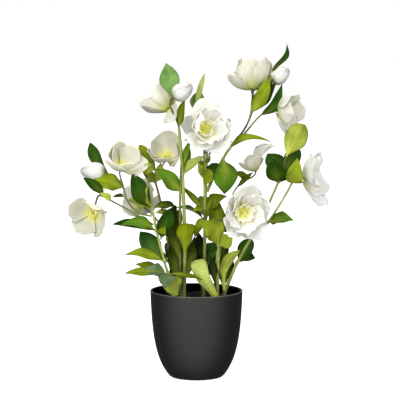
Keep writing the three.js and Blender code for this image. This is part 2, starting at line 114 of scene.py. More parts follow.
# Groups of leaves on a sleeve: the limb, the share of its length and the leaves
WHORLS = {
    "leaves_centre_left_foot": ("stem_centre_left", 0.17, [blade(100, 59, 60, 22, "front", "deep")]),
    "leaves_centre_left_low": ("stem_centre_left", 0.29, [
        blade(286, 74, 45, 25, "back", "ripe", broadest=0.8, arch=-0.4, point=-0.3, stalk=0.16),
    ]),
    "leaves_centre_left_mid": ("stem_centre_left", 0.65, [
        blade(196, 43, 49, 22, "front", "mid", point=0.25),
    ]),
    "leaves_centre_left_high": ("stem_centre_left", 0.75, [
        blade(340, 40, 42, 13, "slant", "pale"),
        blade(59, 65, 40, 12, "front", "olive"),
    ]),
    "leaves_centre_foot": ("stem_centre", 0.16, [
        blade(122, 59, 50, 24, "front", "deep"),
        blade(56, 37, 33, 18, "front", "deep"),
        blade(29, 49, 55, 20, "front", "blue"),
    ]),
    "leaves_centre_mid": ("stem_centre", 0.55, [
        blade(180, 46, 43, 9, "slant", "moss", bend=0.12),
        blade(321, 30, 43, 24, "slant", "moss"),
        blade(340, -37, 51, 21, "front", "moss", broadest=0.55),
        blade(241, 5, 31, 12, "slant", "olive"),
    ]),
    "leaves_centre_high": ("stem_centre", 0.77, [
        blade(14, 54, 29, 20, "front", "deep"),
        blade(142, 69, 27, 12, "front", "lime"),
    ]),
    "leaves_upper_right_low": ("bough_upper_right", 0.5, [
        blade(272, -68, 49, 33, "front", "mid", broadest=0.5, point=-0.1),
    ]),
    "leaves_upper_right_high": ("bough_upper_right", 0.7, [
        blade(348, 13, 60, 12, "slant", "olive", bend=-0.08, broadest=0.3, arch=2.8, point=0.3),
    ]),
    "leaves_right_foot": ("stem_right", 0.1, [
        blade(322, 66, 66, 16, "back", "light", sway=0.12, broadest=0.6, stalk=0.3),
    ]),
    "leaves_right_mid": ("stem_right", 0.5, [
        blade(55, 38, 49, 22, "front", "deep"),
        blade(48, 9, 38, 16, "slant", "deep"),
    ]),
    "leaves_right_low": ("bough_right_low", 0.42, [blade(337, 8, 36, 20, "slant", "mid")]),
    "leaves_front_foot": ("stem_front", 0.06, [
        blade(210, 60, 65, 23, "back", "spoon", broadest=0.74, arch=-0.3, point=-0.2, stalk=0.42),
    ]),
    "leaves_front_high": ("stem_front", 0.92, [
        blade(212, 52, 45, 32, "front", "sage", sway=0.26, broadest=0.46, arch=0.4, point=0.1),
        blade(330, 34, 24, 22, "front", "sage", broadest=0.5, point=-0.1),
    ]),
    "leaves_left_foot": ("stem_left", 0.04, [
        blade(244, 50, 38, 29, "back", "light", broadest=0.58, stalk=0.35),
    ]),
    "leaves_left_low": ("stem_left", 0.22, [
        blade(186, 19, 46, 14, "slant", "olive"),
        blade(203, 5, 62, 15, "slant", "olive"),
        blade(213, 10, 40, 20, "slant", "grey"),
        blade(340, -2, 46, 8, "slant", "moss", bend=-0.2),
        blade(264, -17, 44, 24, "slant", "grey", broadest=0.5),
    ]),
    "leaves_left_mid": ("stem_left", 0.33, [
        blade(163, 50, 52, 29, "front", "blue", point=-0.15),
        blade(204, 14, 57, 17, "slant", "olive", point=0.2),
    ]),
    "leaves_left_fork": ("stem_left", 0.58, [
        blade(203, 11, 52, 19, "slant", "mid", arch=1.6),
        blade(300, -7, 22, 14, "slant", "olive"),
        blade(189, 9, 60, 14, "slant", "deep", arch=1.5, point=-0.2),
    ]),
    "leaves_left_top": ("stem_left", 0.76, [
        blade(178, 62, 54, 25, "front", "deep", broadest=0.5, point=-0.3),
        blade(262, 58, 46, 12, "left", "lime"),
        blade(172, 20, 34, 13, "back", "light"),
        blade(40, 0, 38, 13, "slant", "dusk"),
    ]),
    "leaves_left_back_high": ("stem_left_back", 0.45, [blade(310, 72, 52, 23, "front", "deep")]),
    "leaves_left_back_low": ("stem_left_back", 0.25, [
        blade(150, 30, 50, 20, "up", "mid"),
        blade(95, 35, 46, 20, "up", "deep"),
    ]),
    "leaves_back_foot": ("stem_back", 0.22, [
        blade(60, 35, 50, 22, "up", "deep"),
        blade(125, 30, 52, 22, "up", "mid"),
        blade(175, 40, 40, 18, "up", "olive"),
    ]),
    "leaves_back_mid": ("stem_back", 0.56, [
        blade(95, 35, 48, 22, "up", "mid"),
        blade(160, 20, 46, 20, "up", "deep"),
        blade(20, 50, 42, 18, "up", "olive"),
    ]),
}

# Rings of petals by these fields: angles in degrees, lift in millimetres, the rest as shares
RING_FIELDS = ("scale", "wide", "root", "closing", "lift", "turned", "wave", "tinted")
PETAL_RINGS = {
    "outer_petals": (1.0, 1.0, 72, 0, 0.0, 0.0, 1.0, 0.4),
    "inner_petals": (0.9, 0.95, 66, 8, 1.6, 0.5, 1.0, 0.45),
    "ruffled_petals": (0.82, 0.95, 66, 14, 2.4, 0.5, 1.4, 0.6),
    "heart_petals": (0.42, 0.8, 54, 26, 3.0, 0.2, 1.7, 0.9),
}
OPEN_RINGS = ("outer_petals",)
CUP_RINGS = ("outer_petals", "inner_petals")
DOUBLE_RINGS = ("outer_petals", "ruffled_petals", "heart_petals")

# Usual settings of a flower
BLOOM = {
    "leaves": (),
    "rings": CUP_RINGS,
    "count": 3,
    "roll": 0,
    "loose": (0,),
    "roots": (0,),
    "ruffle": 0.4,
    "narrow": 0,
    "tone": "cream",
}


def bloom(heart, face, petal, opening, **settings):
    """Row of a flower: its heart, the heading and rise it faces, and its petals' length and angle.

    Each ring has a count of petals and the flower rolls about its axis. Tips and roots of its outer petals
    hang open by the loose and the root angles in turn. All its petals are ruffled by a share of the most,
    stand steeper by an angle and have a tone.
    """
    row = {"kind": "flower", "heart": heart, "face": face, "petal": petal, "open": opening}
    return {**row, **BLOOM, **settings}


def closed(heart, face, length, leaves):
    """Row of a bud: its seat, the heading and rise it points in, its length and its stalk's leaves."""
    return {"kind": "bud", "heart": heart, "face": face, "length": length, "leaves": leaves}


def shoot(heart, face, leaves):
    """Row of a leafy shoot: its tip, the heading and rise it points in and its leaves."""
    return {"kind": "shoot", "heart": heart, "face": face, "leaves": leaves}


# Sprays: the limb they grow on, the share of its length and their stalks
SPRAYS = {
    "spray_top_left": ("stem_centre_left", 1, [
        bloom(
            (-37, 16, 376), (160, 45), 47, 8, count=4, roll=270,
            loose=(130, 0, 0, 0), roots=(64, 0, 0, 0), narrow=6,
            leaves=[blade(345, 78, 41, 12, "front", "moss", at=0.04, point=0.2)],
        ),
        closed((-31, -6, 394), (352, 33), 32, [
            blade(135, 75, 50, 28, "front", "fresh", at=0.95, sway=0.08, point=0.2),
        ]),
    ]),
    "spray_centre": ("stem_centre", 1, [
        bloom(
            (10, -22, 350), (288, 10), 43, 22, rings=DOUBLE_RINGS, count=5,
            loose=(22, -56, 14, 14, -44), ruffle=1.0, tone="white",
        ),
        shoot((-3, 8, 380), (100, 80), [
            blade(16, 75, 55, 8, "front", "pale", at=0.9),
            blade(40, 66, 30, 20, "front", "fresh", at=0.9),
        ]),
    ]),
    "spray_top_right": ("bough_upper_right", 1, [
        bloom(
            (79, 28, 402), (90, 80), 54, -20, roll=-65,
            loose=(34, 0, 0), roots=(24, 0, 0), narrow=6, tone="shade",
            leaves=[
                blade(330, 60, 60, 20, "front", "gold", at=0.54, arch=0.4, point=0.2),
                blade(2, 50, 56, 22, "front", "deep", at=0.54, point=0.2),
            ],
        ),
        closed((107, 24, 415), (5, 36), 30, [
            blade(352, 70, 56, 8, "front", "deep", sway=0.04, broadest=0.72, point=0.3, swing=-0.09),
        ]),
    ]),
    "spray_right_upper": ("bough_upper_right", 0.9, [
        bloom(
            (113, 4, 375), (338, -6), 41, 18, roll=30, loose=(6, 8, 0), ruffle=0.8,
            leaves=[blade(345, 56, 56, 15, "front", "deep", at=0.62, sway=0.14, point=0.2)],
        ),
    ]),
    "spray_right_leafy": ("bough_right_high", 1, [
        shoot((125, -19, 313), (330, 65), [
            blade(326, 59, 55, 34, "back", "lime", at=0.97, broadest=0.44, point=-0.1),
            blade(150, 50, 36, 27, "front", "deep", at=0.1),
            blade(40, 42, 44, 24, "front", "deep", at=0.2),
        ]),
    ]),
    "spray_right_bloom": ("bough_right_low", 1, [
        bloom(
            (149, 6, 280), (344, 6), 45, 20, roll=60, loose=(0, 4, 14), ruffle=0.8, tone="white",
            leaves=[blade(288, 60, 44, 24, "front", "sage", at=0.02, broadest=0.3)],
        ),
    ]),
    "spray_front": ("bough_front", 1, [
        bloom(
            (62, -40, 237), (289, 0), 44, 28, rings=DOUBLE_RINGS, count=5,
            loose=(-8, -8, 12, 10, -8), ruffle=1.0, tone="white",
        ),
    ]),
    "spray_back_right": ("bough_back_right", 1, [
        bloom(
            (84, 44, 287), (184, 76), 26, 8, rings=OPEN_RINGS, count=4,
            loose=(84, 0, 0, 0), roots=(-66, -10, 0, -10), ruffle=0.7,
            leaves=[blade(200, 20, 26, 12, "slant", "moss", at=0.3)],
        ),
    ]),
    "spray_left_middle": ("bough_left_middle", 1, [
        bloom(
            (-106, -6, 294), (300, 50), 39, -6, loose=(0, 22, 32), tone="shade",
            leaves=[blade(199, 17, 44, 30, "slant", "gold", at=0.03, broadest=0.68, point=-0.1)],
        ),
        closed((-128, -12, 287), (187, 10), 36, [
            blade(151, 54, 55, 17, "front", "deep", at=0.8, sway=-0.1, broadest=0.62),
        ]),
    ]),
    "spray_left_inner": ("stem_left_back", 1, [
        bloom(
            (-43, 26, 306), (262, 40), 34, -6, loose=(6, 4, 10), roots=(-12, 0, 0), tone="shade",
            leaves=[blade(165, 58, 46, 19, "front", "olive", at=0.3, broadest=0.62, point=-0.2)],
        ),
    ]),
    "spray_far_left": ("bough_far_left", 1, [
        bloom(
            (-142, -38, 235), (256, -8), 38, 8, rings=OPEN_RINGS, count=4, roll=60,
            loose=(-8, 0, -10, -40), roots=(-4, 0, -10, -4), ruffle=0.5, tone="shade",
        ),
    ]),
    "spray_left_shade": ("bough_left_shade", 1, [bloom((-78, 62, 239), (102, 12), 36, 24)]),
    "spray_back_top": ("stem_back", 1, [
        bloom(
            (15, 84, 335), (88, 20), 40, 26, rings=DOUBLE_RINGS, count=5, ruffle=1.0,
            leaves=[
                blade(10, 35, 44, 20, "up", "deep", at=0.1),
                blade(170, 35, 40, 18, "up", "mid", at=0.2),
            ],
        ),
    ]),
    "spray_back_low": ("bough_back_low", 1, [bloom((66, 88, 226), (75, 8), 33, 18)]),
    "spray_left_tip": ("stem_left", 1, [
        shoot((-70, -12, 287), (120, 75), [blade(306, 52, 22, 14, "back", "light", at=0.8)]),
    ]),
}

# Finer leaves that grow on the limbs between the groups, within the same reach
FINE_LEAVES = [
    ("stem_left", 0.5, blade(25, 70, 46, 21, "front", "deep")),
    ("bough_far_left", 0.94, blade(185, 41, 39, 14, "front", "deep", broadest=0.5)),
    ("stem_front", 0.98, blade(101, 75, 64, 24, "front", "moss", bend=-0.06)),
    ("stem_centre", 0.53, blade(34, 57, 30, 16, "front", "moss")),
    ("stem_centre", 0.5, blade(226, -53, 32, 12, "slant", "olive", bend=-0.1)),
    ("stem_centre", 0.5, blade(312, 50, 23, 8, "slant", "olive")),
    ("stem_left_back", 0.2, blade(34, 82, 50, 18, "front", "dusk")),
    ("stem_left_back", 0.45, blade(15, 70, 47, 16, "front", "dusk")),
    ("stem_centre", 0.16, blade(172, 60, 46, 18, "front", "dark", sway=-0.12)),
    ("stem_centre", 0.12, blade(7, 52, 52, 20, "front", "dark")),
    ("stem_left", 0.72, blade(29, -11, 30, 9, "slant", "moss")),
    ("stem_left_back", 0.97, blade(208, 52, 31, 14, "front", "sage")),
    ("stem_left_back", 0.97, blade(306, 70, 29, 16, "front", "lime")),
    ("bough_left_middle", 0.85, blade(196, 2, 16, 6, "slant", "deep")),
    ("bough_far_left", 0.8, blade(205, 35, 20, 9, "front", "lime")),
    ("stem_centre_left", 0.8, blade(36, 72, 36, 9, "front", "mid")),
    ("stem_centre", 0.88, blade(202, 63, 18, 6, "front", "moss")),
    ("stem_centre", 0.9, blade(331, 63, 14, 5, "front", "moss")),
    ("bough_upper_right", 0.36, blade(213, -44, 32, 22, "front", "olive")),
    ("bough_back_right", 0.75, blade(335, 44, 33, 8, "slant", "moss")),
    ("stem_centre_left", 0.2, blade(145, 77, 78, 18, "front", "dusk", broadest=0.6)),
    ("stem_centre_left", 0.1, blade(154, 71, 55, 20, "front", "dusk")),
    ("stem_centre_left", 0.14, blade(47, 73, 50, 18, "front", "dusk")),
    ("stem_centre", 0.2, blade(131, 76, 44, 16, "front", "dark")),
    ("stem_centre", 0.1, blade(22, 67, 41, 18, "front", "dark")),
    ("stem_right", 0.12, blade(104, 80, 62, 20, "front", "dusk")),
    ("stem_front", 0.25, blade(170, 78, 46, 12, "front", "dark")),
    ("stem_right", 0.25, blade(65, 69, 31, 14, "front", "dark")),
    ("stem_left", 0.12, blade(160, 46, 25, 16, "front", "dusk")),
    ("stem_left_back", 0.12, blade(322, 76, 40, 18, "front", "dusk")),
    ("bough_right_high", 0.9, blade(240, 74, 36, 28, "front", "deep", point=-0.2)),
    ("bough_right_high", 0.9, blade(25, 48, 40, 24, "front", "deep")),
]

# Second stems that lie beside the first ones: foot, middle and tip
SIDE_STEMS = {
    "side_stem_centre_left": ((-22, -15), (-23, -13, 226), (-21, -9, 300)),
    "side_stem_front": ((24, -18), (27, -19, 145), (29, -20, 180)),
}

# Limbs that are stouter than the others, and by how much
STOUT_LIMBS = {
    "stem_centre_left": 1.35,
    "stem_centre": 1.25,
    "stem_front": 1.15,
    "stem_right": 1.2,
    "bough_upper_right": 1.55,
    "bough_right_high": 1.4,
    "bough_right_low": 1.25,
}

# Limbs with a brown skin
DARK_LIMBS = (
    "side_stem_centre_left",
    "stem_left_back",
    "bough_far_left",
    "bough_left_middle",
    "bough_left_shade",
)

# Directions that the upper side of a leaf can look in
LOOKS = {
    "up": (0, 0, 1),
    "front": (0, -1, 0.4),
    "back": (0, 1, 0.4),
    "left": (-1, -0.3, 0.4),
    "slant": (0, -0.8, 0.6),
}

# Leaf finishes of the upper side and the underside for each tint
TINTS = {
    "deep": ("leaf_deep", "leaf_pale"),
    "mid": ("leaf_mid", "leaf_pale"),
    "fresh": ("leaf_fresh", "leaf_pale"),
    "blue": ("leaf_blue", "leaf_grey"),
    "olive": ("leaf_olive", "leaf_lime"),
    "lime": ("leaf_lime", "leaf_lime"),
    "gold": ("leaf_gold", "leaf_lime"),
    "light": ("leaf_mid", "leaf_lime"),
    "grey": ("leaf_grey", "leaf_pale"),
    "moss": ("leaf_moss", "leaf_lime"),
    # Painted shade: the dark and dusk tints are darker greens that stand for the shade on leaves deep in
    # the plant and low down
    "dark": ("leaf_dark", "leaf_deep"),
    "dusk": ("leaf_dusk", "leaf_pale"),
    "ripe": ("leaf_mid", "leaf_ripe"),
    "pale": ("leaf_pale", "leaf_lime"),
    "sage": ("leaf_sage", "leaf_lime"),
    "spoon": ("leaf_mid", "leaf_spoon"),
}
LEAF_FINISHES = sorted({finish for pair in TINTS.values() for finish in pair})


def shade(code):
    """Linear colour of a six-figure screen colour."""
    values = [int(code[i : i + 2], 16) / 255 for i in (0, 2, 4)]
    return tuple(v / 12.92 if v <= 0.04045 else ((v + 0.055) / 1.055) ** 2.4 for v in values)


def colour(title, code):
    """Colour property with a screen colour as its default."""
    return bpy.props.FloatVectorProperty(
        name=title,
        description=f"Base colour: {title.lower()}",
        subtype="COLOR",
        size=3,
        min=0,
        max=1,
        default=shade(code),
    )


def length(title, words, metres):
    """Length property in metres."""
    return bpy.props.FloatProperty(
        name=title, description=words, subtype="DISTANCE", unit="LENGTH", default=metres
    )


def number(title, words, value):
    """Plain factor property."""
    return bpy.props.FloatProperty(name=title, description=words, default=value)


class PotSizes(bpy.types.PropertyGroup):
    """Sizes of the pot and its fill."""

    height: length("Height", "Height of the pot from its underside to its lip", POT_HIGH.z)
    rim: length("Rim radius", "Radius of the pot at its lip", POT_HIGH.x)
    foot: length("Foot radius", "Radius of the flat underside", 0.0375)
    belly_low: length("Low belly radius", "Pull of the side curve above the foot", 0.058)
    belly_low_height: length("Low belly height", "Height of that pull", 0.022)
    belly_high: length("High belly radius", "Pull of the side curve below the lip", 0.0633)
    belly_high_height: length("High belly height", "Height of that pull", 0.060)
    wall: length("Wall", "Thickness of the wall", 0.0024)
    lip: length("Lip", "Radius of the rounded lip", 0.0009)
    fill: length("Fill level", "Height of the fill's surface", FILL_HIGH.z)
    floor: length("Floor", "Thickness of the pot's floor", 0.004)


class LimbSizes(bpy.types.PropertyGroup):
    """Sizes of stems, boughs and stalks."""

    stem_foot: length("Stem foot", "Radius of a stem at its foot", 0.0022)
    stem_tip: length("Stem tip", "Radius of a stem at its tip", 0.0015)
    side_stem: length("Side stem", "Radius of a second stem at its foot", 0.0021)
    bough_foot: length("Bough foot", "Radius of a bough at its foot", 0.0014)
    bough_tip: length("Bough tip", "Radius of a bough at its tip", 0.0011)
    stalk: length("Stalk", "Radius of a flower's stalk", 0.00105)
    stalk_foot: length("Stalk foot", "Radius of a flower's stalk where it leaves its limb", 0.0015)
    relief: length("Relief", "Depth of the ridges on stems and boughs", 0.00035)


class LeafSizes(bpy.types.PropertyGroup):
    """Sizes and bends of the leaves."""

    thickness: length("Thickness", "Thickness of a leaf", 0.0006)
    petiole: number("Petiole", "Share of the length that is bare petiole", 0.07)
    arch: number("Arch", "Height of the arch as a share of the length", 0.1)
    fold: number("Fold", "Rise of the margins as a share of the half width", 0.3)
    ripple: number("Ripple", "Wave of the margins as a share of the half width", 0.14)
    rib: length("Midrib", "Depth of the midrib's groove", 0.0006)
    veins: number("Veins", "Count of side veins along a leaf", 9.0)


class PetalSizes(bpy.types.PropertyGroup):
    """Sizes and bends of the petals."""

    thickness: length("Thickness", "Thickness of a petal", 0.0005)
    cup: number("Cup", "Rise of the edges as a share of the half width", 0.28)
    twist: number("Twist", "Angle in degrees by which petals overlap", 9.0)
    start: length("Start", "Distance of a petal's root from the flower's axis", 0.0042)
    crinkle: number("Crinkle", "Depth of the creases as a share of the length", 0.018)
    flare: number("Flare", "Outward roll of the rim as a share of the length", 0.05)
    ripple: number("Ripple", "Wave of the rim as a share of the length", 0.034)


class PlantColours(bpy.types.PropertyGroup):
    """Colours of the pot and the plant."""

    pot: colour("Pot", "10110e")
    pot_sheen: colour("Pot highlights", "151613")
    # Painted highlight: the lip is lighter than the pot to stand for the light that its rounded edge
    # catches
    lip: colour("Lip of the pot", "5a5b55")
    soil: colour("Fill", "090805")
    moss: colour("Moss", "11130a")
    stem: colour("Stem", "949e4b")
    bark: colour("Stem in the shade", "6f7632")
    brown: colour("Brown stem", "3f3718")
    leaf_deep: colour("Deep leaf", "1e3c06")
    # Painted shade: this darkest green stands for the shade that falls on the leaves in the heart of the
    # plant
    leaf_dark: colour("Leaf in the heart of the plant", "16220a")
    leaf_dusk: colour("Leaf in the shade", "2c3905")
    leaf_ripe: colour("Ripe underside", "64710a")
    leaf_mid: colour("Mid leaf", "446612")
    leaf_fresh: colour("Fresh leaf", "5f7f42")
    leaf_blue: colour("Blue leaf", "234616")
    leaf_olive: colour("Olive leaf", "66750e")
    leaf_moss: colour("Moss leaf", "4a5705")
    leaf_lime: colour("Lime leaf", "97a33e")
    leaf_gold: colour("Gold leaf", "6d7b12")
    leaf_pale: colour("Pale underside", "87954a")
    leaf_grey: colour("Grey leaf", "566a48")
    leaf_sage: colour("Sage leaf", "76841f")
    leaf_spoon: colour("Light underside", "a1ad5c")
    leaf_base: colour("Leaf base", "b8c148")
    petal: colour("Petal", "efeee4")
    # Partly the petals' own cream and partly painted shade: darker than the white petal to stand for
    # flowers that lie in shade; the shaded petal below is painted shade only
    petal_cream_and_shade: colour("Cream petal", "d6d5c6")
    petal_shade: colour("Shaded petal", "cac9b9")
    petal_edge: colour("Petal rim", "e0ddc0")
    petal_base: colour("Petal base", "a9b466")
    throat: colour("Throat", "ece888")
    heart: colour("Heart", "f2ee70")
    anther: colour("Anther", "faf7b4")
    bud: colour("Bud", "f6f4e2")


class StageSizes(bpy.types.PropertyGroup):
    """Camera, light and floor."""

    lens: bpy.props.FloatProperty(
        name="Lens", description="Focal length of the camera", subtype="DISTANCE_CAMERA", default=151.83
    )
    camera_distance: length("Camera distance", "Distance of the camera in front of the pot", 2.35)
    camera_height: length("Camera height", "Height of the camera above the floor", 0.495)
    camera_aside: length("Camera aside", "Sideways place of the camera and its target", 0.005)
    target_height: length("Target height", "Height that the camera looks at", 0.24929)
    floor: length("Floor", "Side of the floor", 14.0)
    sky: number("Sky", "Strength of the surrounding light", 0.1)
    front: number("Front", "Strength of the broad light in front", 1.36)
    key: number("Key", "Power of the main light in watts", 38.0)
    side: number("Side", "Power of the side light in watts", 21.0)
    top: number("Top", "Power of the light above the back in watts", 48.0)
    floor_glow: number("Floor glow", "Own light of the floor, which keeps it white", 0.85)


GROUPS = {
    "hellebore_pot": PotSizes,
    "hellebore_limbs": LimbSizes,
    "hellebore_leaves": LeafSizes,
    "hellebore_petals": PetalSizes,
    "hellebore_colours": PlantColours,
    "hellebore_stage": StageSizes,
}


# Places and curves, in millimetres
def pointing(heading, rise):
    """Unit vector of a heading and a rise in degrees."""
    level = math.cos(math.radians(rise))
    turn = math.radians(heading)
    return np.array([level * math.cos(turn), level * math.sin(turn), math.sin(math.radians(rise))])


def unit(direction):
    """Direction at length one."""
    return direction / np.linalg.norm(direction)


def square_to(direction, axis):
    """Part of a direction that is square to an axis, at length one."""
    return unit(direction - axis * np.dot(direction, axis))


class Bezier:
    """Curve with two or three bends through its control points."""

    def __init__(self, *points):
        self.points = np.array(points, float)

    def at(self, share):
        """Place at a share of the curve, or an array of places."""
        share = np.asarray(share, float)[..., None]
        rows = list(self.points)
        while len(rows) > 1:
            rows = [a * (1 - share) + b * share for a, b in zip(rows, rows[1:])]
        return rows[0]

    def tangent(self, share):
        """Unit direction at a share of the curve."""
        steps = Bezier(*np.diff(self.points, axis=0)).at(share)
        return steps / np.linalg.norm(steps, axis=-1, keepdims=True)


def bow(start, middle, tip):
    """Quadratic curve that passes through the middle point half-way."""
    start, middle, tip = (np.array(p, float) for p in (start, middle, tip))
    return Bezier(start, 2 * middle - 0.5 * start - 0.5 * tip, tip)


class Limb:
    """Curve of a stem or bough with its radius at foot and tip."""

    def __init__(self, curve, foot, tip):
        self.curve = curve
        self.foot = foot
        self.tip = tip

    def radius(self, share):
        """Radius at a share of the limb."""
        return self.foot + (self.tip - self.foot) * share


def start_on(limb, share, leaving, radius):
    """Where a new limb starts, clear of its host: past the tip, or off the side that it leaves by."""
    place = limb.curve.at(share)
    along = limb.curve.tangent(share)
    if share == 1:
        return place + along * (GAP + radius * np.linalg.norm(np.cross(leaving, along)))
    tilt = abs(np.dot(leaving, along))
    return place + square_to(leaving, along) * (limb.radius(share) + GAP + radius * tilt)


def all_limbs():
    """Stems and boughs by name, as the frame has them."""
    sizes = bpy.context.scene.hellebore_limbs
    level = bpy.context.scene.hellebore_pot.fill / MM
    limbs = {}
    for name, (foot, middle, tip) in STEMS.items():
        curve = bow((*foot, level + GAP), middle, tip)
        limbs[name] = Limb(curve, sizes.stem_foot / MM, sizes.stem_tip / MM)
    for name, (host, share, middle, tip) in BOUGHS.items():
        leaving = unit(np.array(middle, float) - limbs[host].curve.at(share))
        start = start_on(limbs[host], share, leaving, sizes.bough_foot / MM)
        limbs[name] = Limb(bow(start, middle, tip), sizes.bough_foot / MM, sizes.bough_tip / MM)
    return limbs


STALK_LEAVING = 0.35
STALK_ARRIVING = 0.4


def all_stalks(limbs):
    """Every stalk of the sprays with its curve and its row."""
    radius = bpy.context.scene.hellebore_limbs.stalk / MM
    stalks = []
    for name, (host, share, rows) in SPRAYS.items():
        limb = limbs[host]
        heart = np.array(rows[0]["heart"], float)
        leaving = limb.curve.tangent(1) if share == 1 else unit(heart - limb.curve.at(share))
        start = start_on(limb, share, leaving, radius)
        for row in rows:
            end = np.array(row["heart"], float)
            reach = np.linalg.norm(end - start)
            away = start + leaving * STALK_LEAVING * reach
            behind = end - pointing(*row["face"]) * STALK_ARRIVING * reach
            stalks.append((name, Bezier(start, away, behind, end), row))
    return stalks


# Meshes
def new_piece(name, mesh, nodes=()):
    """Object of a finished mesh that rides on the plant and stands for frame nodes."""
    piece = bpy.data.objects.new(name, mesh)
    bpy.context.scene.collection.objects.link(piece)
    return settle(piece, nodes)


def settle(piece, nodes=()):
    """Puts a piece on the plant's body, with the nodes that it stands for."""
    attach(piece, BODY)
    if nodes:
        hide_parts(*nodes)
    return piece


def array_mesh(name, points, faces, smooth, materials, slots=None):
    """Mesh from points in millimetres and lists of the corners of its faces."""
    mesh = bpy.data.meshes.new(name)
    mesh.from_pydata((np.asarray(points) * MM).tolist(), [], faces)
    mesh.polygons.foreach_set("use_smooth", np.asarray(smooth, bool))
    for material in materials:
        mesh.materials.append(material)
    if slots is not None:
        mesh.polygons.foreach_set("material_index", np.asarray(slots, np.int32))
    mesh.update()
    return mesh


CELL_MARGIN = 0.04


def sheet_faces(rows, columns):
    """Corner indices of one closed sheet: its front, its back and the rim between them."""
    index = np.arange(rows * columns).reshape(rows, columns)
    front = np.stack([index[:-1, :-1], index[:-1, 1:], index[1:, 1:], index[1:, :-1]], -1).reshape(-1, 4)
    back = front[:, ::-1] + rows * columns
    border = np.concatenate([index[0, :-1], index[:-1, -1], index[-1, :0:-1], index[:0:-1, 0]])
    following = np.roll(border, -1)
    behind = rows * columns
    rim = np.stack([following, border, border + behind, following + behind], -1)
    return front, back, rim


def joined_sheets(name, sheets, front_slots, back_slots, materials, tall=1.0):
    """One mesh of many thin closed sheets, each with a front and a back as rows and columns of places."""
    fronts, backs = (np.array([sheet[i] for sheet in sheets]) for i in (0, 1))
    count, rows, columns = fronts.shape[:3]
    front, back, rim = sheet_faces(rows, columns)
    points = np.concatenate([fronts.reshape(count, -1, 3), backs.reshape(count, -1, 3)], 1)
    faces = np.concatenate([front, back, rim])
    step = 2 * rows * columns
    all_faces = (faces[None] + step * np.arange(count)[:, None, None]).reshape(-1, 4)
    smooth = np.tile(np.arange(len(faces)) < len(front) + len(back), count)
    kinds = np.repeat([0, 1, 1], [len(front), len(back), len(rim)])
    slots = np.where(kinds[None] == 0, np.array(front_slots)[:, None], np.array(back_slots)[:, None])
    mesh = array_mesh(name, points.reshape(-1, 3), all_faces.tolist(), smooth, materials, slots.ravel())

    # The pattern map runs across and along each sheet; the bake map gives each side a cell of its own
    grid = np.stack(np.meshgrid(np.linspace(0, 1, columns), np.linspace(0, 1, rows)), -1).reshape(-1, 2)
    pattern = np.tile(grid, (2, 1))[faces.ravel()]
    across = math.ceil(math.sqrt(2 * count * tall))
    down = math.ceil(2 * count / across)
    inner = CELL_MARGIN + (1 - 2 * CELL_MARGIN) * pattern
    side = np.repeat(kinds, 4)
    cell = 2 * np.arange(count)[:, None] + side[None]
    corner = np.stack([cell % across, cell // across], -1)
    packed = (corner + inner[None]) / np.array([across, down])
    for title, values in (("OFBake", packed), ("Along", np.broadcast_to(pattern, (count, *pattern.shape)))):
        layer = mesh.uv_layers.new(name=title)
        layer.data.foreach_set("uv", np.ascontiguousarray(values, np.float32).ravel())
    return mesh


def joined_tubes(name, curves, radii, sides, material):
    """One mesh of many round tubes with closed ends, each given by its centres and their radii."""
    points = []
    faces = []
    smooth = []
    first = 0
    turn = np.linspace(0, 2 * math.pi, sides, endpoint=False)
    for centres, sizes in zip(curves, radii):
        steps = len(centres)
        along = np.gradient(centres, axis=0)
        along /= np.linalg.norm(along, axis=1, keepdims=True)
        level = abs(along[steps // 2][1]) > abs(along[steps // 2][2])
        aside = np.array([0.0, 0.0, 1.0]) if level else np.array([0.0, 1.0, 0.0])
        across = np.cross(along, aside)
        across /= np.linalg.norm(across, axis=1, keepdims=True)
        up = np.cross(across, along)
        ring = across[:, None] * np.cos(turn)[None, :, None] + up[:, None] * np.sin(turn)[None, :, None]
        points.append((centres[:, None] + ring * np.asarray(sizes)[:, None, None]).reshape(-1, 3))
        index = first + np.arange(steps * sides).reshape(steps, sides)
        ahead = np.roll(index, -1, axis=1)
        walls = np.stack([index[:-1], index[1:], ahead[1:], ahead[:-1]], -1).reshape(-1, 4)
        faces.extend(walls.tolist())
        faces.append(index[0].tolist())
        faces.append(index[-1, ::-1].tolist())
        smooth.extend([True] * len(walls) + [False, False])
        first += steps * sides
    return array_mesh(name, np.concatenate(points), faces, smooth, [material])


# Leaves: their grid, and how their outline tapers, ends and differs from side to side
LEAF_ROWS = 33
LEAF_COLUMNS = 11
LEAF_CROWDING = 0.2
LEAF_TAPER = 0.85
LEAF_WEDGE = 1.5
LEAF_POINT = 1.08
LEAF_BLUNTNESS = 0.55
LEAF_TIP = 0.04
LEAF_BLUNTEST = 0.3
LEAF_UNEVENNESS = 0.1
SLEEVE_SEAT = 0.6

# Relief of a leaf: twist, fold, ripple, midrib and side veins, in millimetres or as shares
TWIST_START = 0.2
FOLD_POWER = 1.3
RIPPLE_LAG = 1.4
RIB_WIDTH = 1.1
VEIN_SLANT = 0.55
VEIN_SPACING = 0.11
VEIN_HEIGHT = 0.12
VEIN_FULL_WIDTH = 8

# Ranges that the bends of each leaf are drawn from, in this order; the twist is in degrees
LEAF_CHANCES = {
    "broadest": (0.88, 1.12),
    "point": (-0.12, 0.25),
    "lobes": (0.8, 1.6),
    "lobe_phase": (0, 6),
    "arch": (0.7, 1.4),
    "curl": (-0.07, 0.04),
    "sway": (-0.06, 0.06),
    "twist": (-16, 16),
    "waves": (1.3, 2.2),
    "wave_phase": (0, 2 * math.pi),
    "fold": (0.4, 1.9),
}


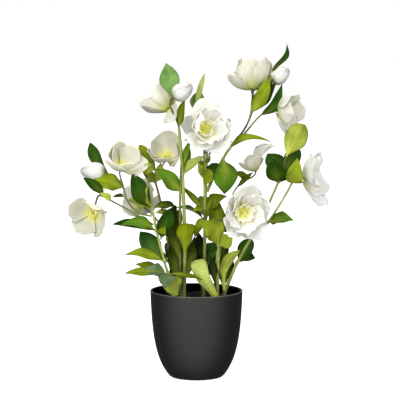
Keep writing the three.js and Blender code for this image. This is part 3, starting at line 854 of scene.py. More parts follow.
def leaf_width(share, petiole, broadest, point, stalk):
    """Width of a leaf at a share of its length: a narrow petiole, a tapered base and a rounded point."""
    part = np.clip((share - petiole) / (1 - petiole), 0, 1)
    taper = LEAF_TAPER + LEAF_WEDGE * max(0.0, broadest - 0.5)
    rising = stalk + (1 - stalk) * np.sin(0.5 * np.pi * np.minimum(1, part / broadest)) ** taper
    past = np.clip((part - broadest) / (1 - broadest), 0, 1)
    ending = max(LEAF_BLUNTEST, LEAF_POINT - LEAF_BLUNTNESS * broadest + point)
    return np.maximum(LEAF_TIP, rising * (1 - past**2) ** ending)


def leaf_sheet(base, row, chance):
    """Front and back of one leaf as arrays of places; its own small bends are drawn from chance."""
    sizes = bpy.context.scene.hellebore_leaves
    own = {key: chance.uniform(*span) for key, span in LEAF_CHANCES.items()}
    size = row["long"]
    along = pointing(*row["way"])
    up = square_to(np.array(LOOKS[row["look"]], float), along)
    across = np.cross(along, up)
    step = np.linspace(0, 1, LEAF_ROWS)
    share = (step * (1 - LEAF_CROWDING + LEAF_CROWDING * step))[:, None]
    side = np.linspace(-1, 1, LEAF_COLUMNS)[None]
    broadest = row["broadest"] * own["broadest"]
    point = row["point"] + own["point"]
    half = 0.5 * row["wide"] * leaf_width(share, sizes.petiole, broadest, point, row["stalk"])
    uneven = LEAF_UNEVENNESS * np.sin(2 * np.pi * own["lobes"] * share + own["lobe_phase"])
    half = half * (1 + uneven * np.sign(side))
    arch = row["arch"] * sizes.arch * own["arch"] * size * 4 * share * (1 - share)
    curl = (row["bend"] + own["curl"]) * size * share**3
    sway = (row["sway"] + own["sway"]) * size * np.sin(np.pi * share)
    sway = sway + row["swing"] * size * np.sin(2 * np.pi * share)
    twist = math.radians(own["twist"]) * (share - TWIST_START)
    waves = 2 * np.pi * own["waves"] * share + own["wave_phase"] + RIPPLE_LAG * np.sign(side)
    ripple = sizes.ripple * half * side**2 * np.sin(waves)
    groove = -sizes.rib / MM * np.exp(-((side * half / RIB_WIDTH) ** 2)) * (share > sizes.petiole)
    slope = share * sizes.veins - VEIN_SLANT * np.abs(side) * half / (VEIN_SPACING * size)
    veins = VEIN_HEIGHT * np.cos(2 * np.pi * slope) * (1 - side**2) * np.minimum(1, half / VEIN_FULL_WIDTH)
    fold = sizes.fold * own["fold"] * half * np.abs(side) ** FOLD_POWER
    height = fold + ripple + groove + veins
    turned_across = across * np.cos(twist)[..., None] + up * np.sin(twist)[..., None]
    turned_up = up * np.cos(twist)[..., None] - across * np.sin(twist)[..., None]
    spine = base + along * (size * share)[..., None] + up * (arch + curl)[..., None]
    spine = spine + across * sway[..., None]
    front = spine + turned_across * (half * side)[..., None] + turned_up * height[..., None]
    back = front - turned_up * sizes.thickness / MM
    return front, back


def all_leaves(limbs, stalks):
    """Fronts, backs and rows of every leaf, on sleeves, limbs and stalks."""
    chance = np.random.default_rng(SEED)
    rows = []
    groups = [*WHORLS.values(), *((host, share, [row]) for host, share, row in FINE_LEAVES)]
    for host, share, leaves in groups:
        limb = limbs[host]
        place = limb.curve.at(share)
        along = limb.curve.tangent(share)
        for row in leaves:
            outwards = square_to(pointing(*row["way"]), along)
            rows.append((place + outwards * (limb.radius(share) + SLEEVE_SEAT), row))
    for name, curve, stalk in stalks:
        rows.extend((curve.at(row["at"]), row) for row in stalk["leaves"])
    return [(*leaf_sheet(base, row, chance), row) for base, row in rows]


# Petals: their grid and outline, the room they leave each other and how far they stray
PETAL_ROWS = 19
PETAL_COLUMNS = 19
PETAL_CLAW = 0.26
PETAL_SWELL = 1.2
PETAL_BROADEST = 0.7
PETAL_END = 0.3
PETAL_NARROWING = 0.14
PETAL_ROUNDING = 0.46
PETAL_ARC = 0.97
PETAL_OVERLAP = 1.5
ROOM_PETALS = 4
PETAL_STRAY = 6
PETAL_TURN_STRAY = 0.09
PETAL_LENGTHS = (0.9, 1.05)
PETAL_SHRINK = 0.012
PETAL_LEAST = 0.7

# Relief of a petal: depth, pace and drift of its scallops, waves and creases
SCALLOP = 0.05
SCALLOP_PACE = 2.6
FINE_SCALLOP = 0.03
FINE_SCALLOP_PACE = 6.5
PETAL_WAVES = 2.3
CREASE_PACE = 5.2
CREASE_DRIFT = 1.4
CREASE_END = 0.75
FINE_CREASE = 0.6
FINE_CREASE_PACE = 11
FINE_CREASE_DRIFT = 2.2

# Ranges that the bends of each petal are drawn from, in this order; the overlap is in degrees
PETAL_CHANCES = {
    "scallop": (0, 6),
    "fine_scallop": (0, 6),
    "width": (0.94, 1.06),
    "overlap": (-2, 2),
    "wave": (0, 2 * math.pi),
    "flare": (-0.6, 2.0),
    "crease": (0, 6),
    "fine_crease": (0, 6),
}


def petal_sheet(heart, axis, outwards, size, root, tip_angle, ring, flower, chance):
    """Front and back of one petal, which bends from its root angle to its tip angle."""
    sizes = bpy.context.scene.hellebore_petals
    ruffle = flower["ruffle"]
    stray = PETAL_STRAY * (1 + ruffle * ring["wave"])
    bend = tip_angle + math.radians(chance.uniform(-stray, stray)) - root
    own = {key: chance.uniform(*span) for key, span in PETAL_CHANCES.items()}
    across = np.cross(axis, outwards)
    row = np.linspace(0, 1, PETAL_ROWS)[:, None]
    side = np.linspace(1, -1, PETAL_COLUMNS)[None]
    scallop = SCALLOP * np.sin(SCALLOP_PACE * side + own["scallop"])
    scallop = scallop + FINE_SCALLOP * np.sin(FINE_SCALLOP_PACE * side + own["fine_scallop"])
    cut = PETAL_ROUNDING * (1 - np.sqrt(1 - PETAL_ARC * side**2)) + ruffle * scallop
    angle = root + bend * (row * (1 - cut * row**3))
    forward = size * (np.sin(angle) - math.sin(root)) / bend
    outward = sizes.start / MM + size * (math.cos(root) - np.cos(angle)) / bend
    room = outward * math.tan(math.pi / max(ROOM_PETALS, flower["count"])) * PETAL_OVERLAP
    if root > math.pi / 2:
        room = size
    rising = np.sin(0.5 * np.pi * np.minimum(1, row / PETAL_BROADEST)) ** PETAL_SWELL
    narrowing = PETAL_NARROWING * np.clip((row - PETAL_BROADEST) / PETAL_END, 0, 1) ** 2
    swell = (PETAL_CLAW + (1 - PETAL_CLAW) * rising) * (1 - narrowing)
    half = np.minimum(0.5 * ring["wide"] * own["width"] * size * swell, room)
    overlap = half * side * math.tan(math.radians(sizes.twist + own["overlap"]))
    wave = np.sin(PETAL_WAVES * np.pi * side + own["wave"])
    wave = ruffle * ring["wave"] * sizes.ripple * size * wave * row**3
    flare = -sizes.flare * own["flare"] * size * row**5
    crease = np.sin(CREASE_PACE * side + CREASE_DRIFT * row + own["crease"])
    fine = FINE_CREASE * np.sin(FINE_CREASE_PACE * side - FINE_CREASE_DRIFT * row + own["fine_crease"])
    crease = crease + fine * row
    crinkle = ruffle * sizes.crinkle * size * crease * np.sin(np.pi * np.minimum(CREASE_END, row))
    height = sizes.cup * half * side**2 + overlap + wave + flare + crinkle
    inward_axis = np.sin(angle)[..., None] * axis - np.cos(angle)[..., None] * outwards
    spine = heart + axis * forward[..., None] + outwards * outward[..., None]
    front = spine + across * (half * side)[..., None] + inward_axis * height[..., None]
    back = front - inward_axis * sizes.thickness / MM
    return front, back


def flower_frame(face):
    """Axis of a flower and two directions square to it."""
    axis = pointing(*face)
    up = square_to(np.array([0.0, 0.0, 1.0]), axis)
    return axis, up, np.cross(axis, up)


def ring_of_petals(flowers, ring, chance):
    """Sheets of one ring of petals on every flower."""
    sheets = []
    for flower in flowers:
        axis, up, across = flower_frame(flower["face"])
        start = np.array(flower["heart"], float) + axis * ring["lift"]
        for i in range(flower["count"]):
            stray = chance.uniform(-PETAL_TURN_STRAY, PETAL_TURN_STRAY)
            turn = 2 * math.pi * (i + ring["turned"] + stray) / flower["count"]
            turn += math.radians(flower["roll"])
            outwards = up * math.cos(turn) + across * math.sin(turn)
            long = ring["scale"] * flower["petal"] * chance.uniform(*PETAL_LENGTHS)
            free = ring["closing"] == 0
            hang = flower["loose"][i % len(flower["loose"])] if free else 0
            lean = flower["roots"][i % len(flower["roots"])] if free else 0
            long = long * max(PETAL_LEAST, 1 - PETAL_SHRINK * lean)
            root = math.radians(ring["root"] - flower["narrow"] + lean)
            tip = math.radians(flower["open"] + hang - ring["closing"])
            sheets.append(petal_sheet(start, axis, outwards, long, root, tip, ring, flower, chance))
    return sheets


# Buds: the egg as shares of its length, and its wrapped petals; the spread is in degrees
BUD_GIRTH = 0.38
BUD_TAPER = 0.25
BUD_SEAT = 0.9
BUD_END = 0.99
BUD_PETALS = 5
BUD_LAYERS = 2
BUD_LAYER_STEP = 0.05
BUD_STRAY = 0.1
BUD_SPREAD = 62
BUD_NARROWING = 0.25
BUD_SPIRAL = 0.25
BUD_HEM = 0.10
BUD_HEM_LOSS = 0.06
BUD_TUCK = 0.03
BUD_FLARE = 0.05
BUD_WALL = 0.04


def bud_place(bud, height, turn, scale):
    """Place on the egg of a bud at a height from -1 to 1 and a turn round its axis."""
    axis, up, across = flower_frame(bud["face"])
    size = bud["length"]
    girth = BUD_GIRTH * size * (1 - BUD_TAPER * height) * np.sqrt(np.maximum(0, 1 - height**2)) * scale
    forward = 0.5 * size * (height + BUD_SEAT)
    round_axis = up * np.cos(turn)[..., None] + across * np.sin(turn)[..., None]
    return np.array(bud["heart"], float) + axis * forward[..., None] + round_axis * girth[..., None]


def bud_sheets(buds, chance):
    """Wrapped petals of every bud, each tucked under the next."""
    sheets = []
    row = np.linspace(-BUD_END, BUD_END, PETAL_ROWS)[:, None]
    side = np.linspace(1, -1, PETAL_COLUMNS)[None]
    for bud in buds:
        for i in range(BUD_LAYERS * BUD_PETALS):
            layer = i // BUD_PETALS
            middle = 2 * math.pi * (i + 0.5 * layer + chance.uniform(-BUD_STRAY, BUD_STRAY)) / BUD_PETALS
            spread = math.radians(BUD_SPREAD) * (1 - BUD_NARROWING * row)
            turn = middle + spread * side + BUD_SPIRAL * row
            height = row - (BUD_HEM - BUD_HEM_LOSS * layer) * (1 + row) * side**2
            scale = 1.0 + BUD_TUCK * side + BUD_FLARE * np.maximum(0, row) ** 2 * side**2
            scale = scale - BUD_LAYER_STEP * layer
            front = bud_place(bud, height, turn, scale)
            back = bud_place(bud, height, turn, scale - BUD_WALL)
            sheets.append((front[:, ::-1], back[:, ::-1]))
    return sheets


# Materials
class Nodes:
    """Small helper that adds and links the nodes of a material or of the world."""

    def __init__(self, owner):
        owner.use_nodes = True
        self.owner = owner
        self.tree = owner.node_tree
        self.shader = self.tree.nodes.get("Principled BSDF") or self.tree.nodes["Background"]

    def add(self, kind, inputs=(), **settings):
        """New node with its settings, and its inputs linked or set."""
        node = self.tree.nodes.new(kind)
        for key, value in settings.items():
            setattr(node, key, value)
        for key, value in dict(inputs).items():
            self.feed(node.inputs[key], value)
        return node

    def feed(self, socket, value):
        """Links a socket to a node's first output or to an output, or sets its value."""
        if isinstance(value, bpy.types.Node):
            value = value.outputs[0]
        if isinstance(value, bpy.types.NodeSocket):
            self.tree.links.new(value, socket)
        else:
            socket.default_value = value

    def math(self, operation, first, second=0.0):
        """Math node of two values."""
        return self.add("ShaderNodeMath", {0: first, 1: second}, operation=operation)

    def times(self, first, second):
        """Product of two values."""
        return self.math("MULTIPLY", first, second)

    def mix(self, share, first, second):
        """Colour between two colours, each an output or three values."""
        node = self.add("ShaderNodeMix", {"Factor": share}, data_type="RGBA")
        for socket, value in ((node.inputs[6], first), (node.inputs[7], second)):
            self.feed(socket, value if isinstance(value, bpy.types.NodeSocket) else (*value, 1))
        return node.outputs[2]

    def ramp(self, value, low, high):
        """Smooth step of a value from 0 at low to 1 at high."""
        return self.add(
            "ShaderNodeMapRange",
            {"Value": value, "From Min": low, "From Max": high},
            interpolation_type="SMOOTHSTEP",
        )

    def noise(self, scale, detail=3.0, vector=None):
        """Noise on the piece's own coordinates, or on a given vector."""
        if vector is None:
            vector = self.add("ShaderNodeTexCoord").outputs["Object"]
        node = self.add("ShaderNodeTexNoise", {"Vector": vector, "Scale": scale, "Detail": detail})
        return node.outputs[0]

    def sheet_place(self):
        """Across and along values of the sheet's own map, and the distance from its middle line."""
        place = self.add("ShaderNodeUVMap", uv_map="Along")
        across, along = self.add("ShaderNodeSeparateXYZ", {0: place}).outputs[:2]
        return across, along, self.math("ABSOLUTE", self.math("SUBTRACT", across, 0.5))

    def fill_in(self, inputs):
        """Links or sets inputs of the shader by their names."""
        for key, value in inputs.items():
            self.feed(self.shader.inputs[key], value)

    def bump(self, height, strength, distance):
        """Bump on the shader from a height."""
        relief = {"Height": height, "Strength": strength, "Distance": distance}
        self.fill_in({"Normal": self.add("ShaderNodeBump", relief)})

    def finish(self, colour_value, roughness, specular=0.5):
        """Material with its colour, roughness and gloss."""
        self.fill_in({"Base Color": colour_value, "Roughness": roughness, "Specular IOR Level": specular})
        return self.owner


def new_finish(name):
    """Nodes of a new material."""
    return Nodes(bpy.data.materials.new(name))


def hues():
    """Colours of the plant as the user set them."""
    return bpy.context.scene.hellebore_colours


def scaled(body, factor):
    """Colour made lighter or darker by a factor."""
    return [min(1.0, factor * c) for c in body]


# How far the pale base shows on each leaf finish
BASE_SHARE = dict.fromkeys(LEAF_FINISHES, 0.4)
BASE_SHARE.update(leaf_dark=0.1, leaf_dusk=0.2, leaf_deep=0.14, leaf_blue=0.14)
BASE_SHARE.update(leaf_fresh=0.0, leaf_grey=0.15, leaf_spoon=1.0)

# Paint of a leaf: paces of its patterns, strengths of its marks and shades of its own colour
BLOTCH_SCALE = 46.0
BLOTCH_SHARE = 0.6
FIBRES_ACROSS = 16.0
FIBRES_ALONG = 2.0
VEIN_PACE = 9.0
VEIN_LEAN = 3.0
VEIN_STRENGTH = 0.28
RIB_STRENGTH = 0.35
MARGIN_STRENGTH = 0.5
LEAF_LIGHT = 1.4
LEAF_DARK = 0.72
RIB_LIGHT = 1.7
MARGIN_DARK = 0.5
LEAF_GRAIN = 900.0
LEAF_BUMP = (0.12, 0.0004)

# Roughness and gloss of leaves, and the finishes of their undersides
LEAF_SHEEN = (0.5, 0.04)
UNDER_SHEEN = (0.6, 0.12)
UNDERSIDES = ("leaf_pale", "leaf_lime", "leaf_grey")

# Where the marks of a leaf begin and end on its own map, which runs from 0 to 1 across and along it
LEAF_MARKS = {
    "tone": (0.36, 0.64),
    "vein": (0.75, 1.0),
    "rib": (0.04, 0.008),
    "margin": (0.4, 0.5),
    "end": (0.9, 1.0),
    "flame_side": (0.42, 0.05),
    "flame_end": (0.85, 0.05),
    "foot": (0.3, 0.0),
}


def leaf_finish(name):
    """Cloth leaf: a paler base that runs up the midrib, veins, fibres, faint blotches and a dark margin."""
    made = new_finish(name)
    body = getattr(hues(), name)
    across, along, aside = made.sheet_place()

    def mark(value, title):
        return made.ramp(value, *LEAF_MARKS[title])

    weave = {0: made.times(across, FIBRES_ACROSS), 1: made.times(along, FIBRES_ALONG)}
    fibres = made.noise(1.0, 3.0, made.add("ShaderNodeCombineXYZ", weave))
    blotches = made.times(made.noise(BLOTCH_SCALE), BLOTCH_SHARE)
    tone = made.math("ADD", blotches, made.times(fibres, 1 - BLOTCH_SHARE))
    lighter = scaled(body, LEAF_LIGHT)
    ground = made.mix(mark(tone, "tone"), scaled(body, LEAF_DARK), lighter)
    wave = made.math("SUBTRACT", made.times(along, VEIN_PACE), made.times(aside, VEIN_LEAN))
    vein = made.math("COSINE", made.times(wave, 2 * math.pi))
    veined = made.mix(made.times(mark(vein, "vein"), VEIN_STRENGTH), ground, lighter)
    ribbed = made.mix(made.times(mark(aside, "rib"), RIB_STRENGTH), veined, scaled(body, RIB_LIGHT))
    margin = made.math("MAXIMUM", mark(aside, "margin"), mark(along, "end"))
    edged = made.mix(made.times(margin, MARGIN_STRENGTH), ribbed, scaled(body, MARGIN_DARK))
    flame = made.times(mark(aside, "flame_side"), mark(along, "flame_end"))
    foot = made.times(made.math("MAXIMUM", mark(along, "foot"), flame), BASE_SHARE[name])
    coloured = made.mix(foot, edged, hues().leaf_base)
    made.bump(made.math("ADD", vein, made.noise(LEAF_GRAIN)), *LEAF_BUMP)
    return made.finish(coloured, *(UNDER_SHEEN if name in UNDERSIDES else LEAF_SHEEN))


# Paint of a petal: its veins, the strengths of its marks and where they begin and end, and its own glow
PETAL_VEIN_PACE = 26.0
PETAL_VEIN_SCALE = 1.4
PETAL_VEIL = (0.93, 0.94, 0.78)
PETAL_VEIN_STRENGTH = 0.5
PETAL_RIM_STRENGTH = 0.5
PETAL_MARKS = {"vein": (0.5, 0.75), "rim": (0.44, 0.5), "end": (0.93, 1.0)}
TINT_STRAY = 0.25
TINT_FULL = 0.02
PETAL_GRAIN = 1400.0
PETAL_BUMP = (0.1, 0.0003)
PETAL_SHEEN = (0.62, 0.25)
PETAL_GLOW = {"Subsurface Weight": 0.7, "Subsurface Radius": (1.0, 0.97, 0.8), "Subsurface Scale": 0.0026}


def petal_finish(name, tint_reach, tint, body):
    """White cloth petal, a little translucent: fine veins, a yellower rim and a tinted base."""
    made = new_finish(name)
    across, along, aside = made.sheet_place()
    weave = {0: made.times(across, PETAL_VEIN_PACE), 1: along}
    vein = made.noise(PETAL_VEIN_SCALE, 4.0, made.add("ShaderNodeCombineXYZ", weave))
    veins = made.times(made.ramp(vein, *PETAL_MARKS["vein"]), PETAL_VEIN_STRENGTH)
    ground = made.mix(veins, body, [c * f for c, f in zip(body, PETAL_VEIL)])
    rim = made.math("MAXIMUM", made.ramp(aside, *PETAL_MARKS["rim"]), made.ramp(along, *PETAL_MARKS["end"]))
    rimmed = made.mix(made.times(rim, PETAL_RIM_STRENGTH), ground, hues().petal_edge)
    reach = made.math("ADD", along, made.times(made.math("SUBTRACT", vein, 0.5), TINT_STRAY))
    coloured = made.mix(made.ramp(reach, tint_reach, TINT_FULL), rimmed, tint)
    made.bump(made.math("ADD", vein, made.noise(PETAL_GRAIN)), *PETAL_BUMP)
    made.fill_in(PETAL_GLOW)
    return made.finish(coloured, *PETAL_SHEEN)


# Skin of stems: its patches and flecks, and the heights between which it darkens towards the fill
STEM_PATCHES = 18.0
PATCH_MARK = (0.4, 0.62)
STEM_STREAKS = 420.0
FLECK_MARK = (0.5, 0.72)
FLECK_STRENGTH = 0.35
FLECK_LIGHT = 1.35
STEM_SHADE_MARK = (0.185, 0.125)
STEM_SHADE_STRENGTH = 0.55
STEM_SHADE_DARK = 0.35
STEM_BUMP = (0.2, 0.0003)
STEM_SHEEN = (0.5, 0.4)


def stem_finish(name, low, high):
    """Satin plastic skin of stems and stalks, in stretches of two colours."""
    made = new_finish(name)
    streak = made.noise(STEM_STREAKS, 2.0)
    ground = made.mix(made.ramp(made.noise(STEM_PATCHES), *PATCH_MARK), low, high)
    fleck = made.times(made.ramp(streak, *FLECK_MARK), FLECK_STRENGTH)
    flecked = made.mix(fleck, ground, scaled(high, FLECK_LIGHT))
    place = made.add("ShaderNodeSeparateXYZ", {0: made.add("ShaderNodeTexCoord").outputs["Object"]})
    shaded = made.times(made.ramp(place.outputs[2], *STEM_SHADE_MARK), STEM_SHADE_STRENGTH)
    coloured = made.mix(shaded, flecked, scaled(low, STEM_SHADE_DARK))
    made.bump(streak, *STEM_BUMP)
    return made.finish(coloured, *STEM_SHEEN)


# Even finishes: where one colour gives way to the other, and the grain
PLAIN_MARK = (0.35, 0.65)
PLAIN_GRAIN = 8
PLAIN_BUMP = (0.15, 0.0003)


def plain_finish(name, low, high, scale, roughness, gloss=0.3):
    """Even finish that wanders between two near colours."""
    made = new_finish(name)
    coloured = made.mix(made.ramp(made.noise(scale), *PLAIN_MARK), low, high)
    made.bump(made.noise(PLAIN_GRAIN * scale), *PLAIN_BUMP)
    return made.finish(coloured, roughness, gloss)


# Plastic of the pot: soft clouds in its colour and roughness, and the grain
POT_CLOUDS = 9.0
POT_CLOUD_MARK = (0.3, 0.7)
POT_ROUGHNESS = (0.36, 0.44)
POT_GRAIN = 1500.0
POT_BUMP = (0.08, 0.0002)


def pot_finish(name):
    """Satin moulded plastic with a faint grain and softly worn sheen."""
    made = new_finish(name)
    cloud = made.noise(POT_CLOUDS, 4.0)
    coloured = made.mix(made.ramp(cloud, *POT_CLOUD_MARK), hues().pot, hues().pot_sheen)
    wear = {"Value": cloud}
    wear.update(zip(("From Min", "From Max", "To Min", "To Max"), (*POT_CLOUD_MARK, *POT_ROUGHNESS)))
    made.bump(made.noise(POT_GRAIN, 2.0), *POT_BUMP)
    return made.finish(coloured, made.add("ShaderNodeMapRange", wear))


# Cast fill: its crumbs and traces of moss
FILL_CRUMBS = 380.0
FILL_CRUMB_MARK = (0.35, 0.7)
FILL_DARK = 0.55
FILL_MOSS = 55.0
FILL_MOSS_MARK = (0.5, 0.66)
FILL_MOSS_STRENGTH = 0.8
FILL_BUMP = (0.6, 0.001)
FILL_SHEEN = (0.9, 0.2)


def fill_finish(name):
    """Dark cast fill with crumbs and traces of moss."""
    made = new_finish(name)
    crumbs = made.noise(FILL_CRUMBS, 5.0)
    ground = made.mix(made.ramp(crumbs, *FILL_CRUMB_MARK), scaled(hues().soil, FILL_DARK), hues().soil)
    patches = made.times(made.ramp(made.noise(FILL_MOSS, 4.0), *FILL_MOSS_MARK), FILL_MOSS_STRENGTH)
    coloured = made.mix(patches, ground, hues().moss)
    made.bump(crumbs, *FILL_BUMP)
    return made.finish(coloured, *FILL_SHEEN)


# Pieces modelled by hand; edges sharper than this angle in degrees stay sharp
SMOOTH_ANGLE = 35
TINY = 1e-9


def turned_body(name, profile, sides):
    """Round body raised loop by loop from a disc; the profile has radius and height in metres."""
    radius, height = profile[0]
    bpy.ops.object.select_all(action="DESELECT")
    bpy.ops.mesh.primitive_circle_add(
        vertices=sides, radius=radius, fill_type="NGON", location=(0, 0, height)
    )
    piece = bpy.context.object
    piece.name = name
    bpy.ops.object.transform_apply(location=True, rotation=True, scale=True)
    bpy.ops.object.mode_set(mode="EDIT")
    bpy.ops.mesh.select_mode(type="FACE")
    bpy.ops.mesh.select_all(action="SELECT")
    for next_radius, next_height in profile[1:]:
        lift = (0, 0, next_height - height)
        bpy.ops.mesh.extrude_region_move(TRANSFORM_OT_translate={"value": lift})
        grow = next_radius / radius
        bpy.ops.transform.resize(value=(grow, grow, 1), center_override=(0, 0, next_height))
        radius, height = next_radius, next_height
    bpy.ops.mesh.select_all(action="SELECT")
    bpy.ops.mesh.normals_make_consistent(inside=False)
    bpy.ops.object.mode_set(mode="OBJECT")
    bpy.ops.object.shade_smooth_by_angle(angle=math.radians(SMOOTH_ANGLE))
    piece.data.name = name
    return piece


def side_curve(inset, low, high, steps):
    """Radius and height of the pot's side from low to high, set in by a wall."""
    pot = bpy.context.scene.hellebore_pot
    curve = Bezier(
        (pot.foot - inset, low),
        (pot.belly_low - inset, pot.belly_low_height + low),
        (pot.belly_high - inset, pot.belly_high_height),
        (pot.rim - inset, pot.height),
    )
    points = curve.at(np.linspace(0, 1, steps + 1))
    return [tuple(p) for p in points if p[1] <= high + TINY]


POT_SIDES = 128
POT_STEPS = 40
LIP_STEPS = 5

# Bevel of the foot: how far in from the foot's radius and how high, as multiples of the lip's radius
FOOT_BEVEL = ((2, 0), (0.5, 0.15), (0, 0.9))

# Colours of the inside wall, darkened below the pot's colour as painted shade since it lies in the plant's
# shade, and how far the lip's painted highlight falls below the lip colour
INSIDE_SHADE_LOW = (0.0015, 0.0015, 0.0013)
INSIDE_SHADE_HIGH = (0.003, 0.003, 0.0025)
LIP_HIGHLIGHT_LOW = 0.8


class HELLEBORE_OT_pot(bpy.types.Operator):
    """Turn the pot with its rounded lip and thin wall"""

    bl_idname = "hellebore.pot"
    bl_label = "Pot"

    def execute(self, context):
        pot = context.scene.hellebore_pot
        edge = pot.lip
        under_lip = pot.height - edge
        bevel = [(pot.foot - inset * edge, height * edge) for inset, height in FOOT_BEVEL]
        outside = [p for p in side_curve(0, 0, pot.height, POT_STEPS) if p[1] < under_lip]
        inside = [p for p in side_curve(pot.wall, pot.floor, pot.height, POT_STEPS) if p[1] < under_lip]
        lip = []
        for middle, first in ((pot.rim - edge, 0.0), (pot.rim - pot.wall + edge, 0.5 * math.pi)):
            for turn in np.linspace(first, first + 0.5 * math.pi, LIP_STEPS):
                lip.append((middle + edge * math.cos(turn), under_lip + edge * math.sin(turn)))
        piece = turned_body("round_pot", [*bevel, *outside[1:], *lip, *reversed(inside)], POT_SIDES)
        finishes = (
            pot_finish("satin_black_plastic"),
            # Painted shade of the inside wall: near black, darker than the pot, where the plant and the
            # wall shade it
            plain_finish("dull_black_inside", INSIDE_SHADE_LOW, INSIDE_SHADE_HIGH, 40.0, 0.9, 0.05),
            # Painted highlight along the lip: lighter than the pot, standing for the light on its rounded
            # edge
            plain_finish("worn_lip", scaled(hues().lip, LIP_HIGHLIGHT_LOW), hues().lip, 40.0, 0.4),
        )
        for finish in finishes:
            piece.data.materials.append(finish)
        # Lip faces take the painted highlight and inward faces the painted shade
        for face in piece.data.polygons:
            outward = face.normal.x * face.center.x + face.normal.y * face.center.y
            if face.center.z > under_lip:
                face.material_index = 2
            elif outward < 0:
                face.material_index = 1
        settle(piece, ["pot"])
        return {"FINISHED"}


# Fill: its grid, its shoulder in millimetres and the lumps of its surface in metres
FILL_RINGS = 26
FILL_SIDES = 96
FILL_SHOULDER = 2
LUMP_SCALE = 0.009
LUMP_DETAIL = 3
LUMP_HEIGHT = 0.0045

# Crumbs: their count, room at the wall, lift, range of sizes, unevenness and flatness, in millimetres
CRUMBS = 420
CRUMB_ROOM = 3
CRUMB_LIFT = 0.4
CRUMB_SIZES = (0.8, 2.2)
CRUMB_UNEVENNESS = 0.25
CRUMB_FLATNESS = 0.8
CRUMB_DARK = 0.6


class HELLEBORE_OT_fill(bpy.types.Operator):
    """Turn the fill, roughen its surface and scatter crumbs of moss on it"""

    bl_idname = "hellebore.fill"
    bl_label = "Fill"

    def execute(self, context):
        pot = context.scene.hellebore_pot
        inset = pot.wall + GAP * MM
        side = side_curve(inset, pot.floor + GAP * MM, pot.fill - FILL_SHOULDER * MM, POT_STEPS // 2)
        reach = side[-1][0]
        rings = [(reach * (1 - i / FILL_RINGS), pot.fill) for i in range(FILL_RINGS)]
        piece = turned_body("fill", [*side, *rings], FILL_SIDES)
        surface = piece.vertex_groups.new(name="surface")
        upper = [v for v in piece.data.vertices if v.co.z > pot.fill - MM]
        surface.add([v.index for v in upper if v.co.xy.length < reach - MM], 1.0, "REPLACE")
        cloud = bpy.data.textures.new("fill_lumps", "CLOUDS")
        cloud.noise_scale = LUMP_SCALE
        cloud.noise_depth = LUMP_DETAIL
        lumps = piece.modifiers.new("lumps", "DISPLACE")
        lumps.texture = cloud
        lumps.strength = LUMP_HEIGHT
        lumps.mid_level = 0.5
        lumps.direction = "Z"
        lumps.vertex_group = "surface"
        bpy.ops.object.modifier_apply(modifier="lumps")
        piece.data.materials.append(fill_finish("dark_fill"))
        settle(piece, ["pot_fill"])
        self.scatter(pot, reach)
        return {"FINISHED"}

    def scatter(self, pot, reach):
        """Small lumps of moss that lie on the surface."""
        chance = np.random.default_rng(SEED + 1)
        corners = np.array([(1, 0, 0), (0, 1, 0), (-1, 0, 0), (0, -1, 0), (0, 0, 1), (0, 0, -1)], float)
        upper = [(i, (i + 1) % 4, 4) for i in range(4)]
        lower = [((i + 1) % 4, i, 5) for i in range(4)]
        sides = np.array(upper + lower)
        points = []
        faces = []
        for i in range(CRUMBS):
            away = (reach / MM - CRUMB_ROOM) * math.sqrt(chance.uniform(0, 1))
            turn = chance.uniform(0, 2 * math.pi)
            place = np.array([away * math.cos(turn), away * math.sin(turn), pot.fill / MM + CRUMB_LIFT])
            uneven = chance.uniform(*CRUMB_SIZES, 3)
            lump = corners * uneven * (1 + chance.uniform(-CRUMB_UNEVENNESS, CRUMB_UNEVENNESS, (6, 1)))
            spin = chance.uniform(0, 2 * math.pi)
            cos = math.cos(spin)
            sin = math.sin(spin)
            points.append(place + lump @ np.array([(cos, -sin, 0), (sin, cos, 0), (0, 0, CRUMB_FLATNESS)]))
            faces.extend((sides + len(corners) * i).tolist())
        moss = plain_finish("moss_crumbs", scaled(hues().moss, CRUMB_DARK), hues().moss, 60.0, 0.9)
        mesh = array_mesh("moss_crumbs", np.concatenate(points), faces, np.zeros(len(faces)), [moss])
        new_piece("moss_crumbs", mesh)


LIMB_ROUNDNESS = 3
LIMB_STEPS = 48
STEM_SINK = 3.0
RIDGE_SCALE = 0.006


